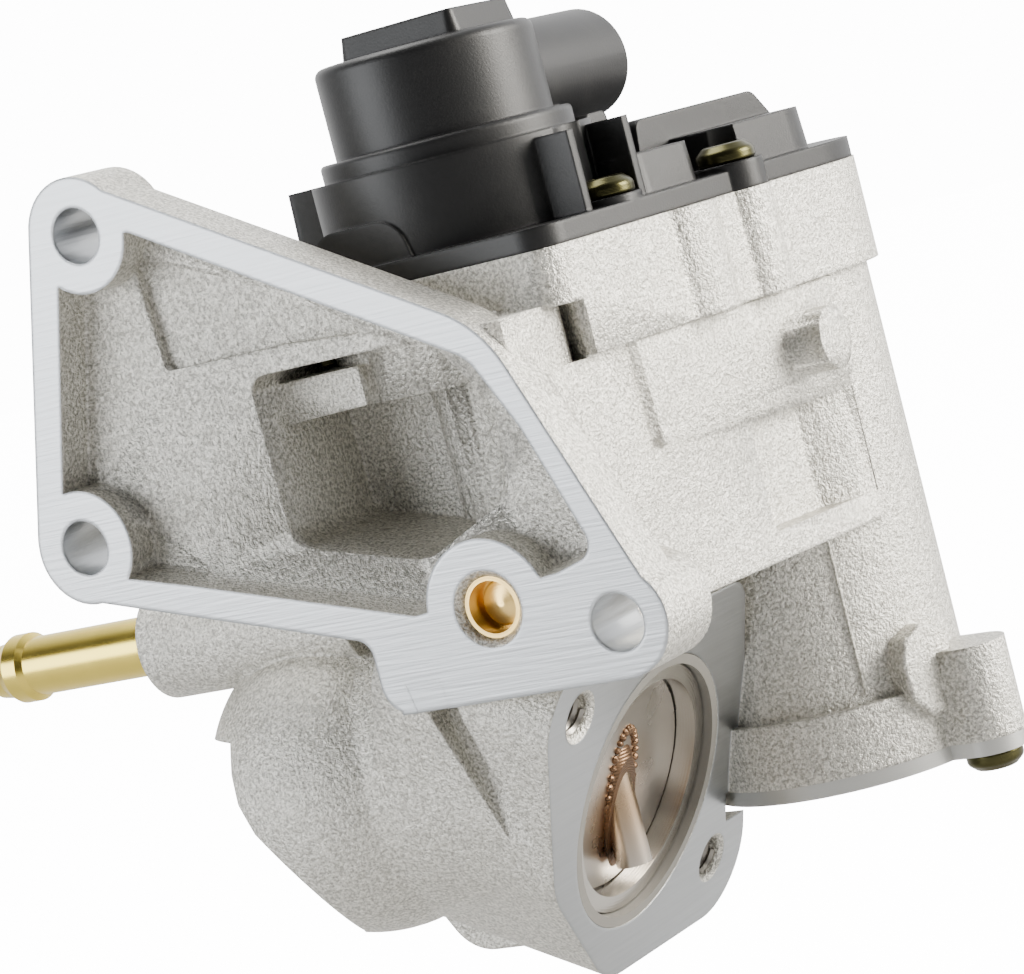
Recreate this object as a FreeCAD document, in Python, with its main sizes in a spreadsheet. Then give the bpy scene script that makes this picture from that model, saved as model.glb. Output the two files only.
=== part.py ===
import FreeCAD, Part
import math
import os
import re

from FreeCAD import Placement, Rotation, Vector

doc = FreeCAD.newDocument("egr_valve")
sheet = doc.addObject("Spreadsheet::Sheet", "Sizes")

# All lengths are millimetres and all angles degrees.
# X runs toward the gas port side, Y away from the mounting face, Z up along the flap shaft.
SIZES = (
    ("flange_thick", "9", "mounting plate thickness"),
    ("bolt_hole_r", "4.5", "clearance hole for an M8 bolt"),
    ("hole_a_x", "-79.4", "upper left mounting hole"),
    ("hole_a_z", "75.7", ""),
    ("hole_b_x", "-94.2", "lower left mounting hole"),
    ("hole_b_z", "26.8", ""),
    ("hole_c_x", "0", "right mounting hole, origin of the part"),
    ("hole_c_z", "0", ""),
    ("boss_ab_r", "9.4", "left mounting bosses"),
    ("boss_c_r", "8.6", "right mounting boss"),
    ("boss_ab_deep", "12", ""),
    ("boss_c_deep", "14", ""),
    ("plug_x", "-21.7", "brass plug position"),
    ("plug_z", "5.4", ""),
    ("plug_r", "4.85", "brass plug outside radius"),
    ("plug_boss_r", "11", ""),
    ("plug_drill_r", "3.2", "cross drilling behind the plug"),
    ("recess_deep", "6", "first level of the lightening recess"),
    ("pocket_deep", "29", "floor of the deep pocket"),
    ("shaft_x", "-33", "flap shaft axis"),
    ("shaft_y", "40", ""),
    ("shaft_r", "3", "flap shaft radius"),
    ("shaft_low_z", "-46", "cut lower end of the flap shaft"),
    ("shaft_top_z", "72", ""),
    ("case_yaw", "16.45", "line from flap shaft to motor, from Y toward X"),
    ("face_yaw", "8.63", "direction of the visible side wall, from Y toward X"),
    ("gear_mod_a", "0.8", "module of the motor stage"),
    ("gear_mod_b", "1", "module of the sector stage"),
    ("teeth_motor", "13", ""),
    ("teeth_large", "53", ""),
    ("teeth_small", "14", ""),
    ("teeth_sector", "43", "teeth of the whole sector circle"),
    ("split_z", "56", "joint between casting and gear cover"),
    ("seam_z", "47", "casting seam below the joint"),
    ("case_low_z", "38.5", "underside of the gear case"),
    ("floor_z", "42.5", "gear case floor"),
    ("drum_r", "23.2", "black drum above the flap shaft"),
    ("drum_top_z", "73.4", ""),
    ("collar_r", "20.8", ""),
    ("collar_top_z", "76.5", ""),
    ("turret_r", "18", "upper cylinder with the position sensor"),
    ("turret_top_z", "91.5", ""),
    ("plateau_z", "95.4", "top of the raised cap"),
    ("cover_wall", "2", ""),
    ("spring_r", "14.2", "mean radius of the return spring"),
    ("wire_r", "1", ""),
    ("spring_turns", "4", ""),
    ("spring_low_z", "58.6", ""),
    ("spring_top_z", "67.8", ""),
    ("cover_rim_z", "59.4", "top of the cover rim"),
    ("cover_seat_z", "60.6", "seat of the cover screws"),
    ("barrel_x", "-27.5", "electric connector axis"),
    ("barrel_z", "82.5", ""),
    ("barrel_r", "9.2", ""),
    ("barrel_y", "78", "mouth of the connector"),
    ("blade_reach", "13", "motor blades from the motor axis"),
    ("column_r", "23", "motor column"),
    ("motor_r", "19", "motor can radius"),
    ("motor_gap", "0.2", "clearance of the can in the column"),
    ("column_low_z", "-43.3", "joint with the motor cover"),
    ("motor_low_z", "-38", ""),
    ("motor_high_z", "36", ""),
    ("motor_ear_r", "=column_r + 5.5", "screw circle of the motor cover"),
    ("motor_cover_thick", "2.6", ""),
    ("port_x", "-26.8", "centre of the gas port face"),
    ("port_y", "40", ""),
    ("port_z", "-34.4", ""),
    ("port_tilt", "25", "gas port axis below X"),
    ("port_bolt_v", "28.4", "threaded hole offset along Y"),
    ("port_bolt_u", "21", "threaded hole offset up the face"),
    ("thread_r", "3.4", "tapping radius of an M8 thread"),
    ("thread_deep", "17", ""),
    ("bore_r", "18.5", "gas bore in the steel sleeve"),
    ("sleeve_wall", "1.6", ""),
    ("sleeve_lip_r", "21.2", ""),
    ("sleeve_long", "25", ""),
    ("groove_r", "23.3", "outside of the seal ring groove"),
    ("groove_deep", "3.6", ""),
    ("duct_r", "17.5", "cast gas duct"),
    ("duct_x", "-71.5", "outlet axis"),
    ("duct_y", "33", ""),
    ("duct_z", "-22", ""),
    ("outlet_y", "66", "hidden outlet face"),
    ("disc_thick", "3", "flap disc"),
    ("disc_gap", "0.35", "disc edge to bore"),
    ("ring_gap", "0.03", "split ring to bore"),
    ("run_gap", "0.02", "radial clearance of running fits"),
    ("press_gap", "0.01", "radial clearance left in pressed and bolted fits"),
    ("bush_r", "5.5", "shaft bush outside radius"),
    ("nipple_y", "24", "hose nipple axis"),
    ("nipple_z", "6", ""),
    ("nipple_x", "-101", "shoulder of the hose nipple"),
    ("nipple_r", "5.1", "hose nipple outside radius"),
    ("nipple_bead_r", "6", "hose bead"),
    ("nipple_bore_r", "3.4", ""),
    ("nipple_long", "38", ""),
    ("gallery_r", "3", "coolant gallery"),
    ("screw_r", "2", "M4 screw"),
    ("screw_head_r", "4.9", ""),
    ("screw_head_h", "3.2", ""),
    ("reach_a", "=gear_mod_a * (teeth_motor + teeth_large) / 2", "motor to intermediate gear"),
    ("reach_b", "=gear_mod_b * (teeth_small + teeth_sector) / 2", "intermediate gear to flap shaft"),
    ("gear_x", "=shaft_x + reach_b * sin(case_yaw)", "intermediate gear axis"),
    ("gear_y", "=shaft_y + reach_b * cos(case_yaw)", ""),
    ("motor_x", "=shaft_x + (reach_a + reach_b) * sin(case_yaw)", "motor axis"),
    ("motor_y", "=shaft_y + (reach_a + reach_b) * cos(case_yaw)", ""),
    ("flap_deep", "=(port_x - shaft_x) / cos(port_tilt)", "flap centre behind the port face"),
    ("flap_z", "=port_z + (port_x - shaft_x) * tan(port_tilt)", "flap centre"),
    ("large_tip_r", "=gear_mod_a * (teeth_large / 2 + 1)", ""),
    ("sector_tip_r", "=gear_mod_b * (teeth_sector / 2 + 1)", ""),
)

for row, (name, text, note) in enumerate(SIZES, start=1):
    sheet.set("A%d" % row, name)
    sheet.set("B%d" % row, text)
    sheet.set("C%d" % row, note)
    sheet.setAlias("B%d" % row, name)
doc.recompute()


def val(name):
    """Number held by one sheet alias."""
    return float(sheet.get(name))


WORDS = re.compile(r"(?<![\w.])(%s)(?!\w)" % "|".join(name for name, _, _ in SIZES))


def bind(obj, prop, text):
    """Bind a property to an expression written with the plain sheet aliases."""
    obj.setExpression(prop, WORDS.sub(r"Sizes.\1", str(text)))


def turn_to(x, y, z):
    """Rotation whose columns are three unit vectors."""
    return Rotation(FreeCAD.Matrix(x.x, y.x, z.x, 0, x.y, y.y, z.y, 0, x.z, y.z, z.z, 0))


class Piece:
    """Ordered list of solids that are added to or cut from one sub-part."""

    def __init__(self, name):
        self.name = name
        self.steps = []

    def take(self, obj, cut):
        self.steps.append((cut, obj))
        return obj

    def finish(self):
        """Chain of fusions and cuts, ending in an object named like the file."""
        whole = None
        group = []
        count = 0
        for i, (cut, obj) in enumerate(self.steps):
            group.append(obj)
            last = i + 1 == len(self.steps)
            if not last and self.steps[i + 1][0] == cut:
                continue
            count += 1
            tag = "%s_%d" % (self.name, count)
            if cut:
                tool = group[0] if len(group) == 1 else many("Part::MultiFuse", tag + "_tool", group)
                result = doc.addObject("Part::Cut", tag)
                result.Base = whole
                result.Tool = tool
                whole = result
            else:
                group = ([whole] if whole else []) + group
                whole = group[0] if len(group) == 1 else many("Part::MultiFuse", tag, group)
            group = []
        whole.Label = self.name
        return whole


def many(kind, name, shapes):
    result = doc.addObject(kind, name)
    result.Shapes = shapes
    return result


def place(obj, base, turn):
    """Position by a triple of sheet expressions and a rotation."""
    obj.Placement = Placement(Vector(0, 0, 0), turn)
    for axis, amount in zip("xyz", base):
        bind(obj, ".Placement.Base." + axis, amount)


def along(base, axis, amount):
    """Base triple moved along an axis by an expression."""
    return [
        "(%s) + (%s) * %.7f" % (b, amount, a) if abs(a) > 1e-7 else str(b)
        for b, a in zip(base, (axis.x, axis.y, axis.z))
    ]


def rod(piece, name, base, axis, start, end, radius, cut=False):
    """Cylinder along an axis, from start to end measured from base."""
    axis = Vector(axis).normalize()
    obj = doc.addObject("Part::Cylinder", piece.name + "_" + name)
    bind(obj, "Radius", radius)
    bind(obj, "Height", "(%s) - (%s)" % (end, start))
    place(obj, along(base, axis, start), Rotation(Vector(0, 0, 1), axis))
    return piece.take(obj, cut)


def cone(piece, name, base, axis, start, end, radius_a, radius_b, cut=False):
    """Cone along an axis, for lead-ins and countersinks."""
    axis = Vector(axis).normalize()
    obj = doc.addObject("Part::Cone", piece.name + "_" + name)
    bind(obj, "Radius1", radius_a)
    bind(obj, "Radius2", radius_b)
    bind(obj, "Height", "(%s) - (%s)" % (end, start))
    place(obj, along(base, axis, start), Rotation(Vector(0, 0, 1), axis))
    return piece.take(obj, cut)


def rounded(points):
    """Lines and arcs through (x, y, corner radius) points."""
    points = [tuple(p) + (0,) if len(p) == 2 else tuple(p) for p in points]
    count = len(points)
    spans = []
    for i, (x, y, radius) in enumerate(points):
        here = Vector(x, y, 0)
        before = Vector(points[i - 1][0], points[i - 1][1], 0) - here
        after = Vector(points[(i + 1) % count][0], points[(i + 1) % count][1], 0) - here
        if radius <= 0:
            spans.append((here, None, here))
            continue
        before.normalize()
        after.normalize()
        half = before.getAngle(after) / 2
        reach = radius / math.tan(half)
        centre = here + (before + after).normalize() * (radius / math.sin(half))
        middle = centre + (here - centre).normalize() * radius
        spans.append((here + before * reach, middle, here + after * reach))
    geometry = []
    for i, (enter, middle, leave) in enumerate(spans):
        if middle is not None:
            geometry.append(Part.Arc(enter, middle, leave))
        geometry.append(Part.LineSegment(leave, spans[(i + 1) % count][0]))
    return geometry


def profile(piece, name, points, base, turn):
    sk = doc.addObject("Sketcher::SketchObject", piece.name + "_" + name + "_sketch")
    sk.addGeometry(rounded(points), False)
    place(sk, base, turn)
    return sk


def slab(piece, name, points, base, turn, length, cut=False, taper=0):
    """Straight solid over a rounded outline; a taper narrows it toward its end."""
    obj = doc.addObject("Part::Extrusion", piece.name + "_" + name)
    obj.Base = profile(piece, name, points, base, turn)
    obj.DirMode = "Normal"
    obj.Solid = True
    obj.TaperAngle = taper
    bind(obj, "LengthFwd", length)
    return piece.take(obj, cut)


def spin(piece, name, points, base, axis, cut=False):
    """Turned solid; points are (radius, distance along the axis) from base."""
    axis = Vector(axis).normalize()
    side = Vector(1, 0, 0) if abs(axis.x) < 0.9 else Vector(0, 0, 1)
    side = (side - axis * side.dot(axis)).normalize()
    sk = profile(piece, name, points, base, turn_to(side, axis, side.cross(axis)))
    obj = doc.addObject("Part::Revolution", piece.name + "_" + name)
    obj.Source = sk
    obj.Solid = True
    obj.Angle = 360
    obj.Axis = axis
    for letter, amount in zip("xyz", base):
        bind(obj, ".Base." + letter, amount)
    return piece.take(obj, cut)


X = Vector(1, 0, 0)
Y = Vector(0, 1, 0)
UP = Vector(0, 0, 1)
yaw = math.radians(val("face_yaw"))
tilt = math.radians(val("port_tilt"))
ALONG = Vector(math.sin(yaw), math.cos(yaw), 0)
OUT = Vector(math.cos(yaw), -math.sin(yaw), 0)
PORT = Vector(math.cos(tilt), 0, -math.sin(tilt))
PORT_UP = Vector(math.sin(tilt), 0, math.cos(tilt))
PLAN = Rotation()
FRONT = turn_to(X, UP, -Y)
BACK = turn_to(-X, UP, Y)
BACK_CUT = turn_to(X, -UP, Y)
SIDE = turn_to(ALONG, UP, OUT)
FACE = turn_to(Y, PORT_UP, PORT)

SHAFT = ("shaft_x", "shaft_y", "0")
GEAR = ("gear_x", "gear_y", "0")
MOTOR = ("motor_x", "motor_y", "0")
PORT_BASE = ("port_x", "port_y", "port_z")
shaft = Vector(val("shaft_x"), val("shaft_y"), 0)
gear = Vector(val("gear_x"), val("gear_y"), 0)
motor = Vector(val("motor_x"), val("motor_y"), 0)
side_wall = OUT.dot(motor) + val("column_r")

CASE = (motor - shaft).normalize()
CASE_TURN = turn_to(CASE, UP.cross(CASE), UP)

# Outlines as (x, y, corner radius).
FLANGE = (
    (-85.2, 88.9, 9.4), (-10.3, 47.4, 19.5), (11.9, -8.7, 8.3), (-44.5, -8.7, 5),
    (-44.5, 3.5, 3), (-105.9, 20.9, 9.4),
)
RECESS = (
    (-96.2, 34.5, 4), (-84.2, 72.5, 3), (-69.5, 74.3, 2), (-14.0, 43.2, 7),
    (-8.0, 31.5, 12), (-0.6, 11.0, 3), (-8.0, 9.0, 2), (-35.0, 6.3, 2),
    (-75.0, 17.4, 4), (-99.0, 23.5, 3),
)
SHELF = ((-74.4, 70.5, 1), (-73.6, 51.2, 1), (-50.0, 51.2, 1), (-34.0, 50.2, 0.6), (-46.0, 58.6, 3))
POCKET = (
    (-58.5, 47.3, 3), (-24.0, 47.3, 7), (-15.2, 35.0, 5), (-16.5, 21.0, 4), (-34.0, 13.6, 6),
    (-58.2, 19.6, 4),
)
PORT_OUTLINE = (
    (-6, -32.4, 14), (-28.5, -10.2, 18), (-42.2, 31, 10.5), (24.9, 31, 6), (43.9, -32.4, 11.5),
)
MOTOR_SCREWS = (-7, 105, 190)


def wall_spot(s, c):
    """Plan point from distances along and out of the visible side wall face."""
    spot = ALONG * s + OUT * (side_wall + c)
    return (spot.x, spot.y)


def around(centre, degrees, reach):
    """Plan point at one bearing and distance from a centre."""
    angle = math.radians(degrees)
    return (centre.x + reach * math.cos(angle), centre.y + reach * math.sin(angle))


def between(share, out):
    """Plan point on the hidden wall between the drum and the motor column."""
    a = motor - OUT * (val("column_r") + 2.2)
    b = shaft - OUT * (val("drum_r") + 3)
    run = b - a
    spot = a + run * share + Vector(run.y, -run.x, 0).normalize() * out
    return (spot.x, spot.y)


COVER_SCREWS = (
    wall_spot(37.32, -3.89), wall_spot(66.83, -1.39),
    around(motor, 120.35, val("column_r") + 4.41), around(motor, 190.26, val("column_r") + 4.79),
    between(0.516, 0.47), around(shaft, 215.1, val("drum_r") + 4.29),
)


def flip(points):
    """Outline seen from behind, for sketches whose second axis points down."""
    return [(p[0], -p[1]) + tuple(p[2:]) for p in points]


def at(point, height):
    """Sheet triple for a plain plan position and a height expression."""
    return (str(round(point[0], 4)), str(round(point[1], 4)), height)


def ear(degrees):
    """Plan position of one motor cover screw."""
    return around(motor, degrees, val("motor_ear_r"))


def case_plan(grow):
    """Straight part of the gear case between its round ends."""
    end = val("column_r") + 2.2 + grow
    near = val("drum_r") + 3 + grow
    a = motor + OUT * end
    b = motor - OUT * end
    c = shaft - OUT * near
    front = shaft.y - near
    corner = (side_wall + 2.2 + grow + math.sin(yaw) * front) / math.cos(yaw)
    return ((shaft.x, front), (corner, front, 6), (a.x, a.y), (motor.x, motor.y), (b.x, b.y), (c.x, c.y))


def build_housing():
    b = Piece("housing")
    slab(b, "plate", FLANGE, ("0", "flange_thick", "0"), FRONT, "flange_thick")
    for tag, r, deep in (("a", "boss_ab_r", "boss_ab_deep"), ("b", "boss_ab_r", "boss_ab_deep"), ("c", "boss_c_r", "boss_c_deep")):
        rod(b, "boss_" + tag, ("hole_%s_x" % tag, "0", "hole_%s_z" % tag), Y, "0.02", deep, r)
    core = ((-63.5, 8.5, 3), (-6.5, 2.0, 3), (-6.8, 33, 4), (-14, 48.5, 6), (-63.5, 50.5, 5))
    slab(b, "core", core, ("0", "pocket_deep + 4", "0"), FRONT, "pocket_deep - 2")
    wall = side_wall - 0.4
    k = lambda y: (wall + math.sin(yaw) * y) / math.cos(yaw)
    end = motor + OUT * (val("column_r") - 0.4)
    mid = ((-12, 8), (k(8), 8), (end.x, end.y), (motor.x, motor.y), (-46, 52, 4), (-46, 8))
    slab(b, "mid", mid, ("0", "0", "-3.2"), PLAN, "case_low_z + 3.2")
    rod(b, "column", MOTOR, UP, "column_low_z", "case_low_z", "column_r")
    rod(b, "pillar", SHAFT, UP, "-10", "14", "14")
    rod(b, "case_shaft", SHAFT, UP, "case_low_z", "split_z", "drum_r + 3")
    slab(b, "case_plan", case_plan(0), ("0", "0", "case_low_z"), PLAN, "split_z - case_low_z")
    rod(b, "case_motor", MOTOR, UP, "case_low_z", "split_z", "column_r + 2.2")
    for i, spot in enumerate(COVER_SCREWS):
        low = "case_low_z + 1" if i > 1 else "case_low_z"
        rod(b, "case_boss_%d" % (i + 1), at(spot, "0"), UP, low, "split_z", "6")
    bulge = ALONG * 50.5 + OUT * (side_wall - 4.5)
    rod(b, "bulge", at(bulge, "0"), UP, "case_low_z", "split_z", "9.2")
    corner = ((-34, 8), (-1, 8), (-1, 18.6), (-7, 20.2, 3), (-14, 26), (-34, 26))
    slab(b, "corner_cut", corner, ("0", "0", "case_low_z - 0.5"), PLAN, "seam_z - case_low_z + 0.5", cut=True)
    web = ((-30, 3), (-8.6, 3), (-7.2, 18.4, 3), (-14, 27), (-30, 27))
    slab(b, "web", web, ("0", "0", "case_low_z - 6"), PLAN, "seam_z - case_low_z + 6.6")
    rod(b, "collar", MOTOR, UP, "column_low_z", "column_low_z + 11", "column_r + 2.2")
    ear_reach = val("motor_ear_r")
    for i, degrees in enumerate(MOTOR_SCREWS):
        spot = ear(degrees)
        rod(b, "ear_%d" % i, at(spot, "0"), UP, "column_low_z", "column_low_z + 16", "6.4")
        c, s = math.cos(math.radians(degrees)), math.sin(math.radians(degrees))
        rib = turn_to(Vector(c, s, 0), Vector(-s, c, 0), UP)
        slab(b, "rib_%d" % i, ((10, -6.4), (ear_reach, -6.4), (ear_reach, 6.4), (10, 6.4)), ("motor_x", "motor_y", "column_low_z"), rib, "16")
    facet = motor + Vector(math.cos(math.radians(-48)), math.sin(math.radians(-48)), 0) * (val("column_r") + 1)
    rod(b, "stub", at(facet, "0"), UP, "column_low_z + 8", "column_low_z + 23", "4.6")
    slab(b, "port_block", PORT_OUTLINE, along(PORT_BASE, PORT, "-32"), FACE, "32")
    ball = 27.0
    elbow = ("duct_x", "duct_y - 3", "duct_z")
    globe = ((0, -ball), (ball, -ball, ball - 0.01), (ball, ball, ball - 0.01), (0, ball))
    spin(b, "elbow", globe, elbow, Y)
    rod(b, "duct_across", ("duct_x", "duct_y", "duct_z"), X, "0", "34", "26")
    rod(b, "duct_out", ("duct_x", "0", "duct_z"), Y, "duct_y", "outlet_y", "duct_r + 5.5")
    lobes = ((-27, 9, 8), (-9, 40, 8.5), (9, 40, 8.5), (27, 9, 8), (27, -9, 8), (9, -40, 8.5), (-9, -40, 8.5), (-27, -9, 8))
    slab(b, "outlet_plate", lobes, ("duct_x", "outlet_y - 9", "duct_z"), BACK, "9")
    rod(b, "nipple_boss", ("0", "nipple_y", "nipple_z"), X, "nipple_x", "duct_x + 12", "9.6")
    rod(b, "gallery_wall", ("0", "nipple_y", "nipple_z"), X, "duct_x", "plug_x", "gallery_r + 4")
    rod(b, "return_boss", ("0", "shaft_y + 4", "7"), X, "-86", "shaft_x", "8")
    rod(b, "plug_boss", ("plug_x", "0", "plug_z"), Y, "0.02", "nipple_y + 4", "plug_boss_r - 3")

    slab(b, "recess", flip(RECESS), ("0", "0", "0"), BACK_CUT, "recess_deep", cut=True, taper=-8)
    for tag, r in (("a", "boss_ab_r"), ("b", "boss_ab_r")):
        rod(b, "land_" + tag, ("hole_%s_x" % tag, "0", "hole_%s_z" % tag), Y, "0", "8", r)
    rod(b, "land_plug", ("plug_x", "0", "plug_z"), Y, "0", "8", "plug_boss_r")
    slab(b, "shelf", flip(SHELF), ("0", "recess_deep - 0.2", "0"), BACK_CUT, "1.8", cut=True)
    slab(b, "pocket", flip(POCKET), ("0", "recess_deep - 0.2", "0"), BACK_CUT, "pocket_deep - recess_deep + 0.2", cut=True, taper=-3)
    rod(b, "ledge", SHAFT, UP, "case_low_z", "split_z", "drum_r + 3")
    rod(b, "pocket_pillar", SHAFT, UP, "13", "49", "13.6")
    face = at(OUT * (side_wall - 0.4), "0")
    slab(b, "pad", ((29.4, 20.8, 2), (85, 20.8, 3), (85, 38.7), (29.4, 38.7)), face, SIDE, "1.3", taper=-25)
    pin = ALONG * 71.7 + OUT * side_wall
    rod(b, "pin", at(pin, "29"), X, "-4", "7", "5.3")

    valve = along(PORT_BASE, PORT, "0")
    rod(b, "sleeve_seat", valve, -PORT, "-1", "sleeve_long", "bore_r + sleeve_wall", cut=True)
    rod(b, "bore", valve, -PORT, "sleeve_long - 1", "30", "bore_r", cut=True)
    rod(b, "ring_seat", valve, -PORT, "-1", "groove_deep", "groove_r", cut=True)
    rod(b, "bend", valve, -PORT, "28", "38", "bore_r - 0.6", cut=True)
    bend = Vector(val("port_x"), val("port_y"), val("port_z")) - PORT * 32
    duct = Vector(val("duct_x"), val("duct_y"), val("duct_z"))
    rod(b, "link", ("duct_x", "duct_y", "duct_z"), bend - duct, "-4", "%.5f" % (bend - duct).Length, "duct_r - 1.3", cut=True)
    rod(b, "outlet", ("duct_x", "0", "duct_z"), Y, "duct_y - 16", "outlet_y + 1", "duct_r", cut=True)
    for side in (-31.5, 31.5):
        rod(b, "outlet_thread_%d" % (side > 0), ("duct_x", "0", "duct_z + %s" % side), Y, "outlet_y - 15", "outlet_y + 1", "thread_r", cut=True)

    rod(b, "nipple_seat", ("0", "nipple_y", "nipple_z"), X, "nipple_x - 1", "nipple_x + 12", "nipple_r - 0.6", cut=True)
    rod(b, "gallery", ("0", "nipple_y", "nipple_z"), X, "nipple_x + 11", "plug_x + 1", "gallery_r", cut=True)
    rod(b, "plug_drill", ("plug_x", "0", "plug_z"), Y, "-1", "nipple_y + 1", "plug_drill_r", cut=True)
    rod(b, "plug_seat", ("plug_x", "0", "plug_z"), Y, "-1", "9", "plug_r", cut=True)
    spin(b, "jacket", ((10, 2), (15, 2), (15, 12), (10, 12)), SHAFT, UP, cut=True)
    rod(b, "return_drill", ("0", "shaft_y + 4", "7"), X, "-87", "shaft_x - 11", "gallery_r", cut=True)
    rod(b, "return_seat", ("0", "shaft_y + 4", "7"), X, "-87", "-77", "5", cut=True)

    rod(b, "bush_bore", SHAFT, UP, "-13", "6", "bush_r", cut=True)
    rod(b, "shaft_bore", SHAFT, UP, "5", "case_low_z", "shaft_r + 1", cut=True)
    rod(b, "seal_bore", SHAFT, UP, "30.5", "case_low_z", "6", cut=True)
    rod(b, "bearing_bore", SHAFT, UP, "floor_z - 5", "floor_z + 1", "7.5", cut=True)
    rod(b, "cavity_shaft", SHAFT, UP, "floor_z", "split_z + 1", "sector_tip_r + 0.8", cut=True)
    rod(b, "cavity_gear", GEAR, UP, "floor_z", "split_z + 1", "large_tip_r + 0.8", cut=True)
    rod(b, "cavity_motor", MOTOR, UP, "floor_z", "split_z + 1", "9", cut=True)
    lane = turn_to((motor - gear).normalize(), UP.cross(motor - gear).normalize(), UP)
    slab(b, "cavity_lane", ((0, -8), (26, -8), (26, 8), (0, 8)), ("gear_x", "gear_y", "floor_z"), lane, "split_z - floor_z + 1", cut=True)
    rod(b, "gear_pin_bore", GEAR, UP, "case_low_z + 0.8", "floor_z + 1", "2", cut=True)
    rod(b, "motor_bore", MOTOR, UP, "column_low_z - 1", "motor_high_z + 0.6", "motor_r + motor_gap", cut=True)
    rod(b, "cover_relief", MOTOR, UP, "column_low_z - 5", "column_low_z", "column_r + 3", cut=True)
    rod(b, "motor_neck", MOTOR, UP, "motor_high_z", "floor_z + 1", "6.2", cut=True)
    slot = ((-1.7, -7), (1.7, -7), (1.7, 7), (-1.7, 7))
    slab(b, "blade_slot", slot, along(MOTOR, CASE, "blade_reach")[:2] + ["motor_high_z"], CASE_TURN, "split_z - motor_high_z + 1", cut=True)
    hollow = ((-19, 29, 2), (-13.2, 29, 2), (-7, 69, 2), (-21, 67, 2), (-27, 55, 3), (-19, 46, 2))
    slab(b, "hollow", hollow, ("0", "0", "-4"), PLAN, "case_low_z - 2", cut=True)
    slab(b, "window", ((54.2, 1.4, 1.5), (84, 1.4), (84, 19.5), (54.2, 19.5, 1.5)), at(OUT * (side_wall - 5.6), "0"), SIDE, "8", cut=True)
    rod(b, "column_skin", MOTOR, UP, "0", "20.5", "column_r")
    rod(b, "motor_bore_again", MOTOR, UP, "-1", "21.5", "motor_r + motor_gap", cut=True)

    for tag, deep in (("a", "boss_ab_deep"), ("b", "boss_ab_deep"), ("c", "boss_c_deep")):
        base = ("hole_%s_x" % tag, "0", "hole_%s_z" % tag)
        rod(b, "hole_" + tag, base, Y, "-1", "%s + 1" % deep, "bolt_hole_r", cut=True)
    cone(b, "lead_plug", ("plug_x", "0", "plug_z"), Y, "-1", "1.3", "plug_r + 2.1", "plug_r", cut=True)
    for sign, tag, deep in ((1, "a", "thread_deep + 1.5"), (-1, "b", "thread_deep")):
        hole = ["(%s) + %d * port_bolt_u * %.7f" % (c, sign, p) for c, p in zip(PORT_BASE, (PORT_UP.x, 0, PORT_UP.z))]
        hole[1] = "port_y - %d * port_bolt_v" % sign
        rod(b, "port_thread_" + tag, hole, -PORT, "-1", deep, "thread_r", cut=True)
        cone(b, "port_drill_" + tag, hole, -PORT, deep, deep + " + 2", "thread_r", "0.2", cut=True)
        cone(b, "port_lead_" + tag, hole, -PORT, "-1", "1", "thread_r + 2", "thread_r", cut=True)
    for i, spot in enumerate(COVER_SCREWS):
        rod(b, "cover_tap_%d" % (i + 1), at(spot, "0"), UP, "split_z - 12", "split_z + 1", "screw_r", cut=True)
    for i, degrees in enumerate(MOTOR_SCREWS):
        rod(b, "motor_tap_%d" % (i + 1), at(ear(degrees), "0"), UP, "column_low_z - 1", "column_low_z + 11", "screw_r", cut=True)
    valley = ((-40, -4), (-33.6, -4), (-29.7, -36.2, 1.5), (-33.4, -36.8, 1.5))
    slab(b, "valley", flip(valley), ("0", "0", "0"), BACK_CUT, "8.5", cut=True)
    return b.finish()


def tooth_ring(module, teeth, phase, first=0, count=None, play=0.06):
    """Gear outline points; one tooth is centred on the phase angle in degrees."""
    pitch = module * teeth / 2
    base = pitch * math.cos(math.radians(20))
    tip = pitch + module
    root = pitch - 1.2 * module
    low = max(base, root)
    inv = lambda r: math.tan(math.acos(base / r)) - math.acos(base / r)
    half = math.pi / (2 * teeth) - play / (2 * pitch) + inv(pitch)
    points = []
    for k in range(first, first + (count or teeth)):
        middle = math.radians(phase) + 2 * math.pi * k / teeth
        flank = [(r, half - inv(r)) for r in (low, (low + tip) / 2, tip)]
        if root < base:
            flank.insert(0, (root, flank[0][1]))
        for r, a in flank:
            points.append((r * math.cos(middle - a), r * math.sin(middle - a)))
        for r, a in reversed(flank):
            points.append((r * math.cos(middle + a), r * math.sin(middle + a)))
    return points


def sc(s, c, r=0):
    """Plan point from distances along and out of the visible side wall."""
    spot = ALONG * s + OUT * c
    return (spot.x, spot.y, r)


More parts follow.
